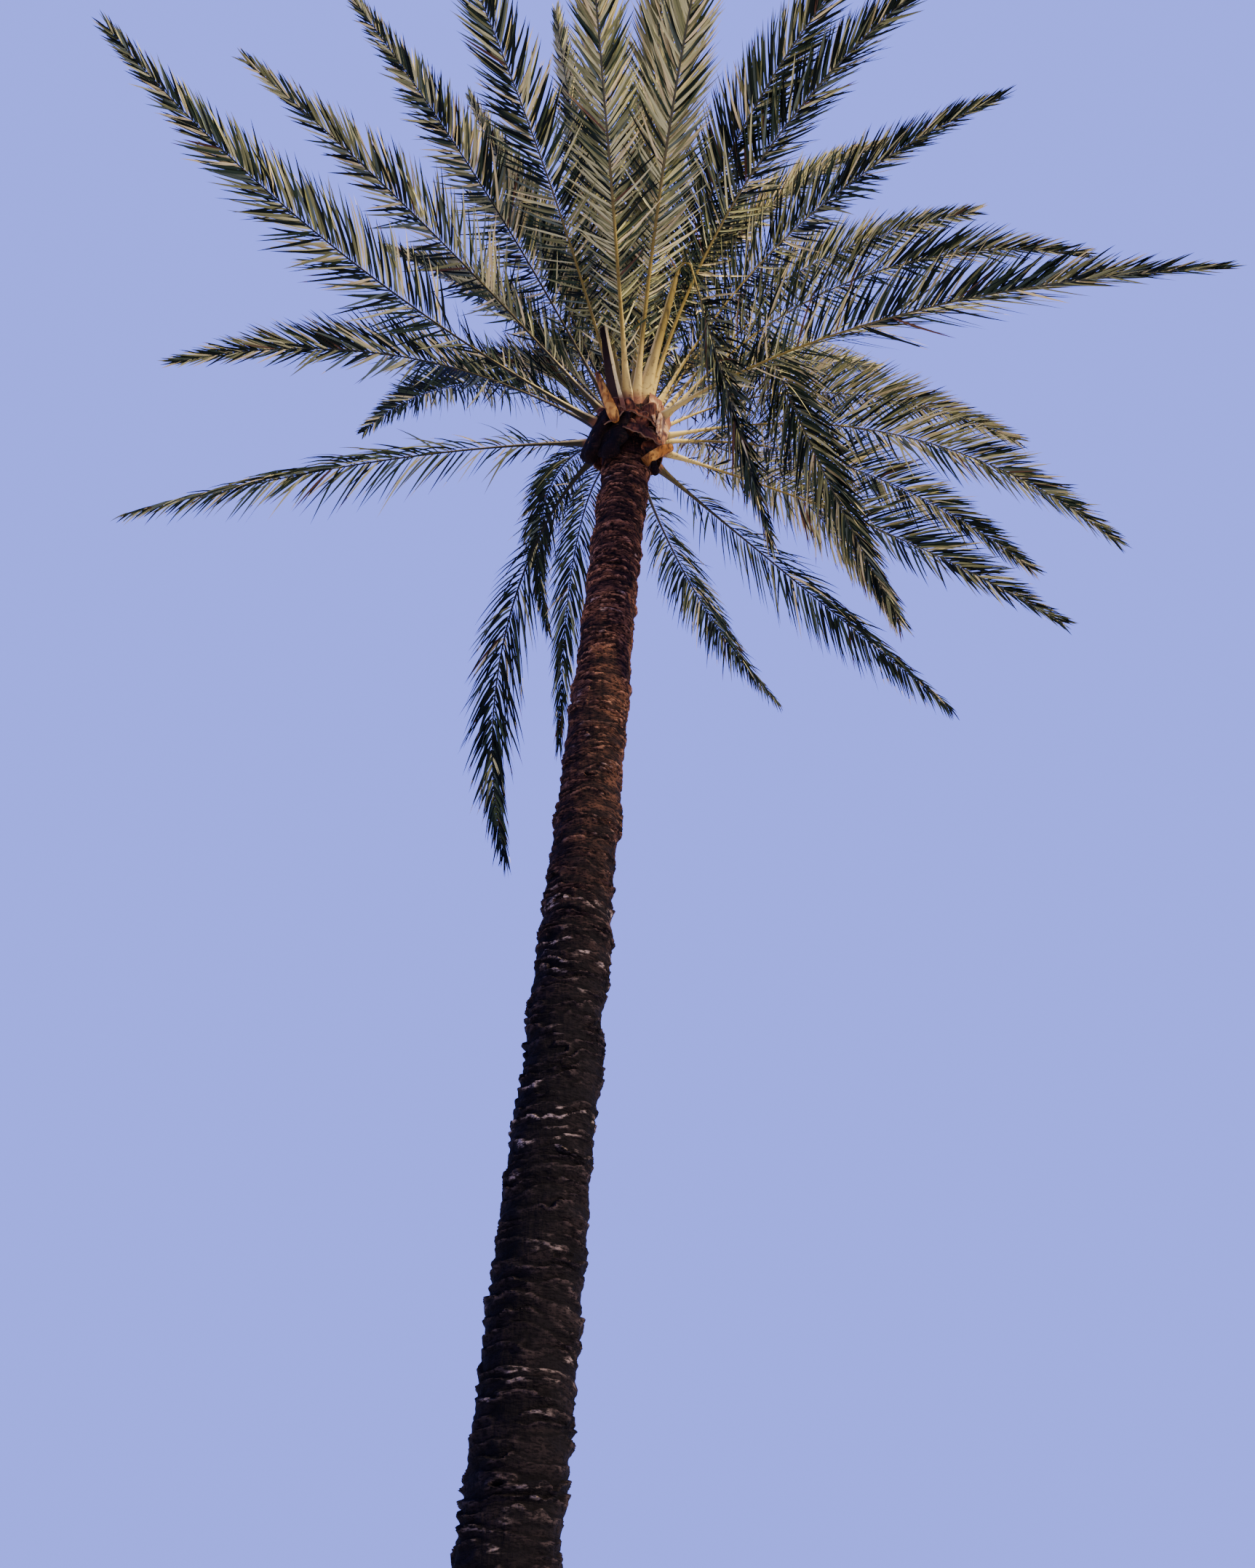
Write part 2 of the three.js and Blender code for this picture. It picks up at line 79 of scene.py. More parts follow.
def lattice(turn: np.ndarray, up: np.ndarray, around: int, rows: int, seed: int) -> np.ndarray:
    """Smooth noise that closes on itself round a stem.

    Args:
        turn: Places round the stem, from 0 to 1.
        up: Places along the stem, from 0 to 1.
        around: How many cells the noise has round the stem.
        rows: How many cells it has along the stem.
        seed: The seed of its random values.

    Returns:
        Noise from -1 to 1, one value for each place.
    """
    grid = np.random.default_rng(seed).uniform(-1, 1, (rows + 2, around))
    x = np.mod(turn, 1.0) * around
    y = np.clip(up, 0.0, 1.0) * rows
    i = np.floor(x).astype(int)
    j = np.floor(y).astype(int)
    fx = steady(0, 1, x - i)
    fy = steady(0, 1, y - j)
    i0 = i % around
    i1 = (i + 1) % around
    low = grid[j, i0] * (1 - fx) + grid[j, i1] * fx
    high = grid[j + 1, i0] * (1 - fx) + grid[j + 1, i1] * fx
    return low * (1 - fy) + high * fy


class Signal:
    """A shader socket that can be used in arithmetic."""

    def __init__(self, board: "Board", socket: bpy.types.NodeSocket) -> None:
        """Keeps the socket and the board that it is on."""
        self.board = board
        self.socket = socket

    def _with(self, operation: str, other: object) -> "Signal":
        """Adds a Math node on the signal and another value."""
        node = self.board.node("ShaderNodeMath", {"operation": operation}, [self, other])
        return Signal(self.board, node.outputs[0])

    def __add__(self, other: object) -> "Signal":
        """The sum of the signal and another value."""
        return self._with("ADD", other)

    def __mul__(self, other: object) -> "Signal":
        """The product of the signal and another value."""
        return self._with("MULTIPLY", other)

    __radd__ = __add__
    __rmul__ = __mul__

    def ease(self, low: float, high: float) -> "Signal":
        """Eases the signal.

        Args:
            low: The value that gives 0.
            high: The value that gives 1.

        Returns:
            The eased signal.
        """
        settings = {"interpolation_type": "SMOOTHSTEP"}
        inputs = {"Value": self, "From Min": low, "From Max": high, "To Min": 0.0, "To Max": 1.0}
        node = self.board.node("ShaderNodeMapRange", settings, inputs)
        return Signal(self.board, node.outputs[0])


class Board:
    """The node tree of one material, with its Principled shader."""

    def __init__(self, name: str) -> None:
        """Makes the material and finds its shader.

        Args:
            name: The material's name.
        """
        self.material = bpy.data.materials.new(name)
        self.material.use_nodes = True
        self.tree = self.material.node_tree
        self.shader = self.tree.nodes["Principled BSDF"]

    def node(self, kind: str, settings: dict, inputs: dict | list) -> bpy.types.Node:
        """Adds one node.

        Args:
            kind: The node's type.
            settings: Its own options, which are set first.
            inputs: Values or signals, by socket name or in the sockets' order.

        Returns:
            The node.
        """
        made = self.tree.nodes.new(kind)
        for key, value in settings.items():
            setattr(made, key, value)
        pairs = inputs.items() if isinstance(inputs, dict) else enumerate(inputs)
        for key, value in pairs:
            self._feed(made.inputs[key], value)
        return made

    def _feed(self, socket: bpy.types.NodeSocket, value: object) -> None:
        """Links a signal to a socket, or sets the socket's own value.

        Args:
            socket: The socket.
            value: A signal or a plain value.
        """
        if isinstance(value, Signal):
            self.tree.links.new(value.socket, socket)
        else:
            socket.default_value = value

    def place(self) -> Signal:
        """The object coordinates."""
        node = self.node("ShaderNodeTexCoord", {}, {})
        return Signal(self, node.outputs["Object"])

    def height(self) -> Signal:
        """The height above the ground."""
        node = self.node("ShaderNodeSeparateXYZ", {}, [self.place()])
        return Signal(self, node.outputs["Z"])

    def stored(self, name: str) -> Signal:
        """A number that is stored on the mesh under a name."""
        node = self.node("ShaderNodeAttribute", {"attribute_name": name}, {})
        return Signal(self, node.outputs["Fac"])

    def noise(self, scale: float, detail: float = 4.0, stretch: tuple = (1, 1, 1)) -> Signal:
        """Noise on the object coordinates.

        Args:
            scale: Its scale.
            detail: Its number of octaves.
            stretch: How much finer it is along each axis.

        Returns:
            The noise, from 0 to 1.
        """
        mapping = self.node("ShaderNodeMapping", {}, {"Vector": self.place(), "Scale": stretch})
        inputs = {"Vector": Signal(self, mapping.outputs[0]), "Scale": scale, "Detail": detail}
        node = self.node("ShaderNodeTexNoise", {}, inputs)
        return Signal(self, node.outputs[0])

    def blend(self, share: object, first: object, second: object) -> Signal:
        """Mixes two colours.

        Args:
            share: The share of the second colour.
            first: The colour at 0.
            second: The colour at 1.

        Returns:
            The mixed colour.
        """
        settings = {"data_type": "RGBA", "blend_type": "MIX"}
        node = self.node("ShaderNodeMix", settings, {0: share, 6: rgba(first), 7: rgba(second)})
        return Signal(self, node.outputs[2])

    def bump(self, height: Signal, strength: float, distance: float) -> None:
        """Bends the shader's normal by a height.

        Args:
            height: The height signal.
            strength: How strongly it shows.
            distance: The height of a full step.
        """
        inputs = {"Height": height, "Strength": strength, "Distance": distance}
        node = self.node("ShaderNodeBump", {}, inputs)
        self.tree.links.new(node.outputs[0], self.shader.inputs["Normal"])

    def set(self, **inputs: object) -> None:
        """Sets or links sockets of the shader, with _ in a name for a space."""
        for key, value in inputs.items():
            value = rgba(value) if isinstance(value, tuple) else value
            self._feed(self.shader.inputs[key.replace("_", " ")], value)


def rgba(colour: object) -> object:
    """Adds a full alpha to a plain colour and leaves a signal alone."""
    return colour if isinstance(colour, Signal) else (*colour, 1.0)


@dataclass(frozen=True)
class Waxy:
    """A plain leaf surface with a waxy gloss."""

    name: str
    colour: tuple[float, float, float]
    roughness: float
    gloss: float

    def material(self) -> bpy.types.Material:
        """Makes the material.

        Returns:
            The material.
        """
        board = Board(self.name)
        board.set(Base_Color=self.colour, Roughness=self.roughness, Specular_IOR_Level=self.gloss)
        return board.material


class Tint(Enum):
    """The plain colours that leaflets are dealt."""

    # The near-black deep green is partly painted shade, and the pale olive partly painted sunlight
    DEEP = Waxy("leaf_deep_green", (0.007, 0.010, 0.006), 0.6, 0.04)
    GREEN = Waxy("leaf_green", (0.020, 0.032, 0.013), 0.6, 0.06)
    GREY = Waxy("leaf_grey_green", (0.082, 0.102, 0.055), 0.55, 0.12)
    OLIVE = Waxy("leaf_olive", (0.155, 0.155, 0.045), 0.55, 0.12)
    PALE = Waxy("leaf_pale_olive", (0.410, 0.380, 0.135), 0.55, 0.12)
    STRAW = Waxy("leaf_straw", (0.560, 0.450, 0.170), 0.65, 0.08)
    BROWN = Waxy("leaf_dry_brown", (0.090, 0.042, 0.018), 0.75, 0.08)


@dataclass(frozen=True)
class Bark:
    """Ringed bark: dark and grey below, redder above, with pale lips on its leaf scars. The dark below
    is partly painted shadow, the pale lips partly painted highlight, and the crevices painted shade.
    """

    name: str = "ringed_bark"
    low: tuple = (0.004, 0.003, 0.003)
    low_patch: tuple = (0.009, 0.006, 0.0055)
    low_lip: tuple = (0.042, 0.028, 0.024)
    high: tuple = (0.020, 0.009, 0.0055)
    high_patch: tuple = (0.110, 0.044, 0.020)
    high_lip: tuple = (0.340, 0.150, 0.072)
    scar: tuple = (0.210, 0.155, 0.125)
    crevice_shade: tuple = (0.0020, 0.0015, 0.0015)

    def material(self) -> bpy.types.Material:
        """Makes the material.

        Returns:
            The material.
        """
        board = Board(self.name)
        lip = board.stored("lip")
        crevice_shade = board.stored("crevice_shade")
        patch = board.noise(5.0, 5.0, (1, 1, 2.6)).ease(0.42, 0.66)
        # Darker below and redder above; the dark below is partly painted shadow
        rise = (board.height() + 2.4 * board.noise(0.9, 3.0)).ease(6.2, 9.6)
        below = board.blend(patch, self.low, self.low_patch)
        above = board.blend(patch, self.high, self.high_patch)
        colour = board.blend(rise, below, above)
        strand = board.noise(42.0, 4.0, (1, 1, 0.22))
        # Pale lips and worn bare scars; the lips are partly painted highlight
        wear_and_highlight = board.noise(20.0, 5.0, (1, 1, 2.4)).ease(0.40, 0.58)
        lip_and_highlight = board.blend(rise, self.low_lip, self.high_lip)
        colour = board.blend(lip * wear_and_highlight * 0.85, colour, lip_and_highlight)
        colour = board.blend(board.stored("scar") * wear_and_highlight, colour, self.scar)
        # Specks, dark strands and the crevices between rows get painted shade
        speck = board.noise(38.0, 4.0, (1, 1, 3.0))
        colour = board.blend(speck.ease(0.52, 0.40) * 0.9, colour, self.crevice_shade)
        colour = board.blend(strand.ease(0.50, 0.30) * 0.5, colour, self.crevice_shade)
        colour = board.blend(crevice_shade * 0.95, colour, self.crevice_shade)
        board.set(Base_Color=colour, Roughness=0.85 + 0.12 * strand, Specular_IOR_Level=0.05)
        board.bump(strand + speck, 0.8, 0.010)
        return board.material


@dataclass(frozen=True)
class Fibre:
    """The matted sheath fibre of the heart."""

    name: str = "sheath_fibre"
    dark: tuple = (0.0025, 0.0015, 0.0015)
    warm: tuple = (0.020, 0.007, 0.004)
    light: tuple = (0.075, 0.030, 0.014)

    def material(self) -> bpy.types.Material:
        """Makes the material.

        Returns:
            The material.
        """
        board = Board(self.name)
        strand = board.noise(70.0, 4.0, (1, 1, 0.12))
        across = board.noise(55.0, 4.0, (0.3, 0.3, 1.4))
        patch = board.noise(9.0, 4.0).ease(0.38, 0.64)
        colour = board.blend(patch, self.dark, self.warm)
        colour = board.blend((strand * across).ease(0.24, 0.40) * 0.75, colour, self.light)
        board.set(Base_Color=colour, Roughness=0.92, Specular_IOR_Level=0.08)
        board.bump(strand + across, 0.7, 0.006)
        return board.material


@dataclass(frozen=True)
class SawnBase:
    """An old leaf base: orange and red-brown outside, with a pale sawn rim and painted shade at its
    foot on the heart.
    """

    name: str = "sawn_base"
    red: tuple = (0.065, 0.019, 0.009)
    orange: tuple = (0.210, 0.066, 0.022)
    dark: tuple = (0.004, 0.002, 0.0015)
    rim: tuple = (0.170, 0.095, 0.042)

    def material(self) -> bpy.types.Material:
        """Makes the material.

        Returns:
            The material.
        """
        board = Board(self.name)
        streak = board.noise(46.0, 4.0, (1, 1, 0.2))
        patch = board.noise(10.0, 3.0).ease(0.47, 0.64)
        colour = board.blend(patch, self.red, self.orange)
        colour = board.blend(streak.ease(0.54, 0.34) * 0.85, colour, self.dark)
        # Painted shade where the piece meets the heart
        colour = board.blend(board.stored("foot") * 0.85, colour, self.dark)
        colour = board.blend(board.stored("rim"), colour, self.rim)
        board.set(Base_Color=colour, Roughness=0.62 + 0.25 * streak, Specular_IOR_Level=0.1)
        board.bump(streak, 0.5, 0.004)
        return board.material


@dataclass(frozen=True)
class Rib:
    """A frond's rib: rusty where it clasps the heart, then cream, then olive to its tip, with painted
    shade on its underside where it faces away from the light.
    """

    name: str = "frond_rib"
    rust: tuple = (0.170, 0.070, 0.030)
    cream: tuple = (0.640, 0.500, 0.170)
    yellow: tuple = (0.280, 0.205, 0.034)
    olive: tuple = (0.066, 0.054, 0.012)
    grey: tuple = (0.048, 0.046, 0.022)
    butter: tuple = (0.400, 0.290, 0.070)
    back: tuple = (0.150, 0.105, 0.016)
    shaded: tuple = (0.005, 0.007, 0.0035)
    mark: tuple = (0.040, 0.020, 0.009)

    def material(self) -> bpy.types.Material:
        """Makes the material.

        Returns:
            The material.
        """
        board = Board(self.name)
        reach = board.stored("reach") + 0.10 * board.noise(6.0, 3.0)
        # How much painted shade darkens the rib's underside
        painted_shade = board.stored("painted_shade")
        under = board.blend(reach.ease(0.15, 0.70), self.butter, self.back)
        under = board.blend(reach.ease(1.00, 2.40), under, self.grey)
        under = board.blend(painted_shade * 0.97, under, self.shaded)
        edge = board.blend(reach.ease(0.30, 1.20), self.cream, self.yellow)
        edge = board.blend(reach.ease(1.00, 2.00), edge, self.olive)
        edge = board.blend(reach.ease(2.00, 3.40), edge, self.grey)
        # The back mask: the darker underside, and the far edge as painted shade
        colour = board.blend(board.stored("back").ease(0.0, 0.6), edge, under)
        colour = board.blend(reach.ease(0.05, 0.13), self.rust, colour)
        streak = board.noise(34.0, 4.0)
        colour = board.blend(streak.ease(0.54, 0.74) * 0.6, colour, self.mark)
        board.set(Base_Color=colour, Roughness=0.5 + 0.2 * streak, Specular_IOR_Level=0.08)
        board.bump(streak, 0.15, 0.002)
        return board.material


def loose() -> None:
    """Leaves edit mode and deselects everything."""
    if bpy.context.object and bpy.context.object.mode != "OBJECT":
        bpy.ops.object.mode_set(mode="OBJECT")
    bpy.ops.object.select_all(action="DESELECT")


def only(piece: bpy.types.Object) -> None:
    """Makes one object the only selected and the active one.

    Args:
        piece: The object.
    """
    loose()
    piece.select_set(True)
    bpy.context.view_layer.objects.active = piece


def corners(mesh: bpy.types.Mesh) -> np.ndarray:
    """The places of a mesh's vertices.

    Args:
        mesh: The mesh.

    Returns:
        One row for each vertex.
    """
    flat = np.zeros(len(mesh.vertices) * 3)
    mesh.vertices.foreach_get("co", flat)
    return flat.reshape(-1, 3)


def move_to(mesh: bpy.types.Mesh, places: np.ndarray) -> None:
    """Puts a mesh's vertices at new places, one row each."""
    mesh.vertices.foreach_set("co", places.ravel())
    mesh.update()


def store(mesh: bpy.types.Mesh, name: str, values: np.ndarray) -> None:
    """Stores one number on each vertex, under a name."""
    layer = mesh.attributes.new(name, "FLOAT", "POINT")
    layer.data.foreach_set("value", np.asarray(values, np.float32))


def sheet_mesh(name: str, points: np.ndarray, faces: list) -> bpy.types.Object:
    """Makes an object from points and faces.

    Args:
        name: The object's name.
        points: One row for each vertex.
        faces: The vertex numbers of each face.

    Returns:
        The object, at the origin.
    """
    mesh = bpy.data.meshes.new(name)
    mesh.from_pydata(points.tolist(), [], faces)
    mesh.update()
    piece = bpy.data.objects.new(name, mesh)
    bpy.context.scene.collection.objects.link(piece)
    return piece


def tube_faces(rings: int, sides: int) -> list[tuple[int, ...]]:
    """The faces of a tube of rings, closed at both ends.

    Args:
        rings: How many rings it has.
        sides: How many points each ring has.

    Returns:
        The vertex numbers of each face.
    """
    faces = [(i * sides + (k + 1) % sides, i * sides + k,
              (i + 1) * sides + k, (i + 1) * sides + (k + 1) % sides)
             for i in range(rings - 1) for k in range(sides)]
    faces.append(tuple(range(sides)))
    faces.append(tuple(reversed(range((rings - 1) * sides, rings * sides))))
    return faces


def repeated(pattern: list, times: int, size: int, first: int = 0) -> list[tuple[int, ...]]:
    """The faces of many small meshes that are alike.

    Args:
        pattern: The faces of one of them, as numbers of its own points.
        times: How many there are.
        size: How many points each has.
        first: The number of the first point of all.

    Returns:
        The vertex numbers of each face.
    """
    starts = range(first, first + times * size, size)
    return [tuple(start + point for point in face) for start in starts for face in pattern]


def upright(piece: bpy.types.Object) -> None:
    """Turns all the faces of a piece outwards, and leaves it the active one.

    Args:
        piece: The piece.
    """
    only(piece)
    bpy.ops.object.mode_set(mode="EDIT")
    bpy.ops.mesh.select_all(action="SELECT")
    bpy.ops.mesh.normals_make_consistent(inside=False)
    bpy.ops.object.mode_set(mode="OBJECT")


def grid_piece(name: str, across: int, along: int) -> tuple[bpy.types.Object, np.ndarray, np.ndarray]:
    """Adds a flat grid, to be bent into shape.

    Args:
        name: The name of the piece.
        across: How many cells it has across.
        along: How many cells it has along.

    Returns:
        The piece, and how far across and along it each point is, from 0 to 1.
    """
    loose()
    bpy.ops.mesh.primitive_grid_add(
        x_subdivisions=across, y_subdivisions=along, size=1.0, location=(0, 0, 0))
    piece = bpy.context.object
    piece.name = name
    piece.data.name = name
    flat = corners(piece.data)
    return piece, flat[:, 0] + 0.5, flat[:, 1] + 0.5


def close_ends(piece: bpy.types.Object) -> None:
    """Welds the seam of a grid that is rolled up round the stem, and closes both of its ends.

    Args:
        piece: The piece.
    """
    only(piece)
    bpy.ops.object.mode_set(mode="EDIT")
    bpy.ops.mesh.select_all(action="SELECT")
    bpy.ops.mesh.remove_doubles(threshold=WELD)
    bpy.ops.mesh.select_all(action="DESELECT")
    bpy.ops.mesh.select_non_manifold(extend=False)
    bpy.ops.mesh.edge_face_add()
    bpy.ops.object.mode_set(mode="OBJECT")
    upright(piece)


def joined(name: str, parts: list) -> bpy.types.Object:
    """Joins objects into one.

    Args:
        name: The name of the joined object.
        parts: The objects, all of them meshes.

    Returns:
        The joined object.
    """
    loose()
    for part in parts:
        part.select_set(True)
    bpy.context.view_layer.objects.active = parts[0]
    if len(parts) > 1:
        bpy.ops.object.join()
    parts[0].name = name
    parts[0].data.name = name
    return parts[0]


def dress(piece: bpy.types.Object, *finishes: object) -> bpy.types.Object:
    """Gives a piece its finishes, each made into a material only once.

    Args:
        piece: The piece.
        finishes: The finishes, in the order of its material slots.

    Returns:
        The same piece.
    """
    for finish in finishes:
        piece.data.materials.append(bpy.data.materials.get(finish.name) or finish.material())
    return piece


def settle(piece: bpy.types.Object, nodes: list, smooth: float | None) -> None:
    """Settles a piece's shading, its body and the nodes that it stands for.

    Args:
        piece: The object.
        nodes: The names of the solids that it replaces.
        smooth: The sharpest angle that is shaded smooth, or None for flat faces.
    """
    if smooth is not None:
        only(piece)
        bpy.ops.object.shade_smooth_by_angle(angle=math.radians(smooth))
    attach(piece, BODY)
    if nodes:
        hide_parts(*nodes)
    LOG.info("%s: %d faces", piece.name, len(piece.data.polygons))


@dataclass
class Trunk:
    """The stem, from its flat cut at the ground to the heart, in two lengths."""

    # The top is just below the foot of the heart's core
    top: float = 9.7997
    radius_low: float = 0.246
    taper: float = 8.4e-3
    flare: float = 0.095
    flare_height: float = 0.42
    around: int = 108
    step: float = 0.0056
    joint: float = 4.9
    row_low: float = 0.084
    row_high: float = 0.046
    lip_low: float = 0.034
    lip_high: float = 0.022
    # The share of a row's height where its lip stands out most
    lip_at: float = 0.84
    lumps: float = 0.012
    grain: float = 0.0035
    sunk: float = 0.003
    plain_foot: float = 0.05
    # Heights of the bands of pale bare scars and how full each band is, and how high a band is
    scar_bands: tuple = ((2.1, .5), (3.25, .6), (4.40, .9), (4.55, 1.0), (4.72, .6), (5.0, .5),
                         (5.57, .45), (5.84, .6))
    band_height: float = 0.045
    seed: int = 7
    finish: Bark = Bark()

    def radius(self, z: np.ndarray) -> np.ndarray:
        """The stem's radius at a height, without its relief."""
        return self.radius_low - self.taper * z + self.flare * np.exp(-z / self.flare_height)

    def row(self, z: np.ndarray) -> np.ndarray:
        """How many rows of leaf scars lie below a height."""
        slope = (self.row_high - self.row_low) / self.top
        return np.log((self.row_low + slope * z) / self.row_low) / slope

    def relief(self, turn: np.ndarray, z: np.ndarray) -> tuple[np.ndarray, np.ndarray, np.ndarray]:
        """The relief of the leaf scars.

        Args:
            turn: Places round the stem, from 0 to 1.
            z: Heights.

        Returns:
            How far the bark stands out, and how much each place is a lip and a crevice that gets
            painted shade.
        """
        up = z / self.top
        row = self.row(z)
        rows = int(self.row(np.array(self.top))) + 1
        share = row / rows
        wave = 0.9 * lattice(turn, up, 3, 26, self.seed)
        wave += 0.65 * lattice(turn, share, 8, rows, self.seed + 1)
        wave += 0.28 * lattice(turn, share, 27, rows * 2, self.seed + 2)
        phase = np.mod(row + wave + turn, 1.0)
        at = self.lip_at
        swell = np.where(phase < at, (phase / at) ** 1.5, 1 - steady(at, 0.97, phase))
        depth = self.lip_low + (self.lip_high - self.lip_low) * up
        proud = 0.55 + 0.75 * lattice(turn, share, 10, rows, self.seed + 3)
        proud += 0.35 * np.maximum(lattice(turn, share, 6, rows // 2, self.seed + 4), 0) ** 2
        out = depth * swell * np.clip(proud, 0.08, 1.5)
        out += self.lumps * lattice(turn, up, 5, 30, self.seed + 5)
        out += self.grain * lattice(turn, up, 44, 560, self.seed + 6)
        foot = steady(0.0, self.plain_foot, z)
        lip = steady(0.50, 0.80, phase) * (1 - steady(at, 0.92, phase)) * np.clip(proud, 0, 1)
        crevice_shade = np.maximum(1 - steady(0.02, 0.20, phase), steady(0.88, 0.96, phase))
        return out * foot - self.sunk, lip, crevice_shade

    def length(self, name: str, low: float, high: float) -> None:
        """Builds one length of the stem.

        Args:
            name: The name of the piece.
            low: The height of its foot.
            high: The height of its top.
        """
        piece, turn, share = grid_piece(name, self.around, int((high - low) / self.step))
        z = low + (high - low) * share
        out, _, _ = self.relief(turn, z)
        move_to(piece.data, round_stem(2 * np.pi * turn, self.radius(z) + out, z))
        close_ends(piece)
        self.mark(piece.data)
        settle(dress(piece, self.finish), ["trunk"], 50.0)

    def mark(self, mesh: bpy.types.Mesh) -> None:
        """Stores which places are lips, crevices that get painted shade, and bare scars.

        Args:
            mesh: The mesh of one length.
        """
        places = corners(mesh)
        z = places[:, 2]
        turn = np.mod(np.arctan2(places[:, 1], places[:, 0] - LEAN * z) / (2 * np.pi), 1.0)
        _, lip, crevice_shade = self.relief(turn, z)
        store(mesh, "lip", lip)
        store(mesh, "crevice_shade", crevice_shade)
        bands = sum(full * np.exp(-((z - at) / self.band_height) ** 2)
                    for at, full in self.scar_bands)
        bare = lattice(turn, z / self.top, 11, 160, self.seed + 8)
        thick = steady(0.02, 0.25, lip)
        store(mesh, "scar", thick * steady(0.25, 0.75, bands + 0.9 * bare - 0.25))

    def build(self) -> None:
        """Builds both lengths."""
        self.length("lower_trunk", 0.0, self.joint)
        self.length("upper_trunk", self.joint, self.top)


class Habit(Enum):
    """How a frond holds its leaflets."""

    SPEAR = "spear"
    YOUNG = "young"
    FULL = "full"
    OLD = "old"
    DRY = "dry"
    BROKEN = "broken"


@dataclass(frozen=True)
class Hold:
    """The leaflets of one habit.

    Lifts are the angles of their planes. Many, spread, slim and long scale their number, their
    opening, their width and their length. Hang is how far they sag, tints are the shares of each
    tint, and dry_tip is the share of leaflets with a dry tip.
    """

    lifts: tuple[float, ...]
    many: float
    spread: float
    hang: float
    tints: tuple[float, ...]
    dry_tip: float
    slim: float = 1.0
    long: float = 1.0


HOLDS = {
    Habit.SPEAR: Hold((18, 34), 1.3, 0.45, 0.01, (.06, .20, .20, .32, .18, .04, 0), 0.0),
    Habit.YOUNG: Hold((14, 48, 30), 1.9, 0.86, 0.03, (.14, .17, .08, .24, .26, .10, .01), 0.05),
    Habit.FULL: Hold((6, 44, 24), 1.2, 1.0, 0.06, (.30, .22, .09, .17, .13, .08, .01), 0.12),
    Habit.OLD: Hold((-16, 20, 2), 0.95, 0.68, 0.50, (.36, .26, .14, .12, .06, .04, .02), 0.30,
                    slim=0.9, long=0.8),
    Habit.DRY: Hold((-10, 22, 6), 1.0, 0.85, 0.22, (.02, .06, .06, .18, .26, .30, .12), 0.6),
    Habit.BROKEN: Hold((-12, 24, 6), 1.3, 0.85, 0.24, (.28, .24, .10, .17, .11, .07, .03), 0.35),
}
# How far each tint is towards the pale end, in the order of Tint
PALENESS = (-1.5, -0.8, 0.0, 0.6, 1.2, 1.2, 0.0)


@dataclass(frozen=True)
class Frond:
    """One frond: where it leaves the heart, how its rib runs and how its leaves look.

    Tone and light run from dark to pale: partly the frond's own tone, partly painted sunlight and
    shade. Full and stout scale its leaflets' number and its stalk's width.
    Bare is the share of its length before its first leaflets.
    """

    name: str
    az: float
    rise: float
    droop: float
    long: float
    seat: float
    roll: float = 0.0
    sweep: float = 0.0
    habit: Habit = Habit.FULL
    tone: float = 0.0
    full: float = 1.0
    stout: float = 1.0
    bare: float = BARE
    bend: float = BEND
    cut: float | None = None
    fold: float | None = None
    toward: float = 0.0
    fall: float = 0.0
    spring: float = 0.0

    def nodes(self) -> list[str]:
        """The names of the solids that stand for this frond."""
        whole = f"frond_{self.name}"
        return [f"{whole}_inner", f"{whole}_outer"] if self.cut else [whole]

    def seat_place(self) -> np.ndarray:
        """The point where the rib leaves the heart.

        Returns:
            Its three coordinates.
        """
        z = SEAT_LOW + SEAT_SPAN * self.seat / 90
        r = SEAT_INNER + SEAT_OUTER * math.cos(math.radians(self.seat)) ** 0.7
        az = math.radians(self.az)
        return np.array([LEAN * z + r * math.cos(az), r * math.sin(az), z])

    def heading(self, t: np.ndarray) -> tuple[np.ndarray, np.ndarray]:
        """The rib's direction.

        Args:
            t: Shares of the frond's length.

        Returns:
            Elevations and azimuths, in degrees.
        """
        t = np.maximum(t, 0.0)
        e = self.rise - self.droop * t ** self.bend
        a = self.az + self.sweep * t ** self.bend
        if self.fold is None:
            return e, a
        turned = steady(self.fold, self.fold + FOLD_SPAN, t)
        bent = self.rise - self.droop * np.minimum(1.0, t / self.fold) ** BEND
        hung = self.spring * np.maximum(0.0, t - self.fold) - self.fall
        swing = (self.toward - self.az + 540) % 360 - 180
        return bent + (hung - bent) * turned, self.az + swing * turned

    def axes(self, t: np.ndarray) -> tuple[np.ndarray, np.ndarray, np.ndarray]:
        """The rib's own axes.

        Args:
            t: Shares of the frond's length.

        Returns:
            Unit vectors along the rib, to its side and up from it, one row for each share.
        """
        e, a = (np.radians(x) for x in self.heading(t))
        along = np.stack([np.cos(e) * np.cos(a), np.cos(e) * np.sin(a), np.sin(e)], -1)
        flat = np.stack([-np.sin(a), np.cos(a), np.zeros_like(a)], -1)
        up = np.cross(along, flat)
        roll = np.radians(self.roll) * np.maximum(t, 0.0)
        side = flat * np.cos(roll)[:, None] + up * np.sin(roll)[:, None]
        return along, side, np.cross(along, side)

    def places(self, t: np.ndarray) -> np.ndarray:
        """Points on the rib's middle line.

        Args:
            t: Shares of the frond's length, below 0 inside the heart.

        Returns:
            One row for each share.
        """
        middles = (np.arange(PATH_STEPS) + 0.5) / PATH_STEPS
        steps = self.axes(middles)[0] * (self.long / PATH_STEPS)
        path = self.seat_place() + np.vstack([np.zeros(3), np.cumsum(steps, 0)])
        shares = np.arange(PATH_STEPS + 1) / PATH_STEPS
        found = np.stack([np.interp(t, shares, path[:, k]) for k in range(3)], -1)
        back = np.minimum(t, 0.0)[:, None] * self.long
        return found + back * self.axes(np.zeros(1))[0]


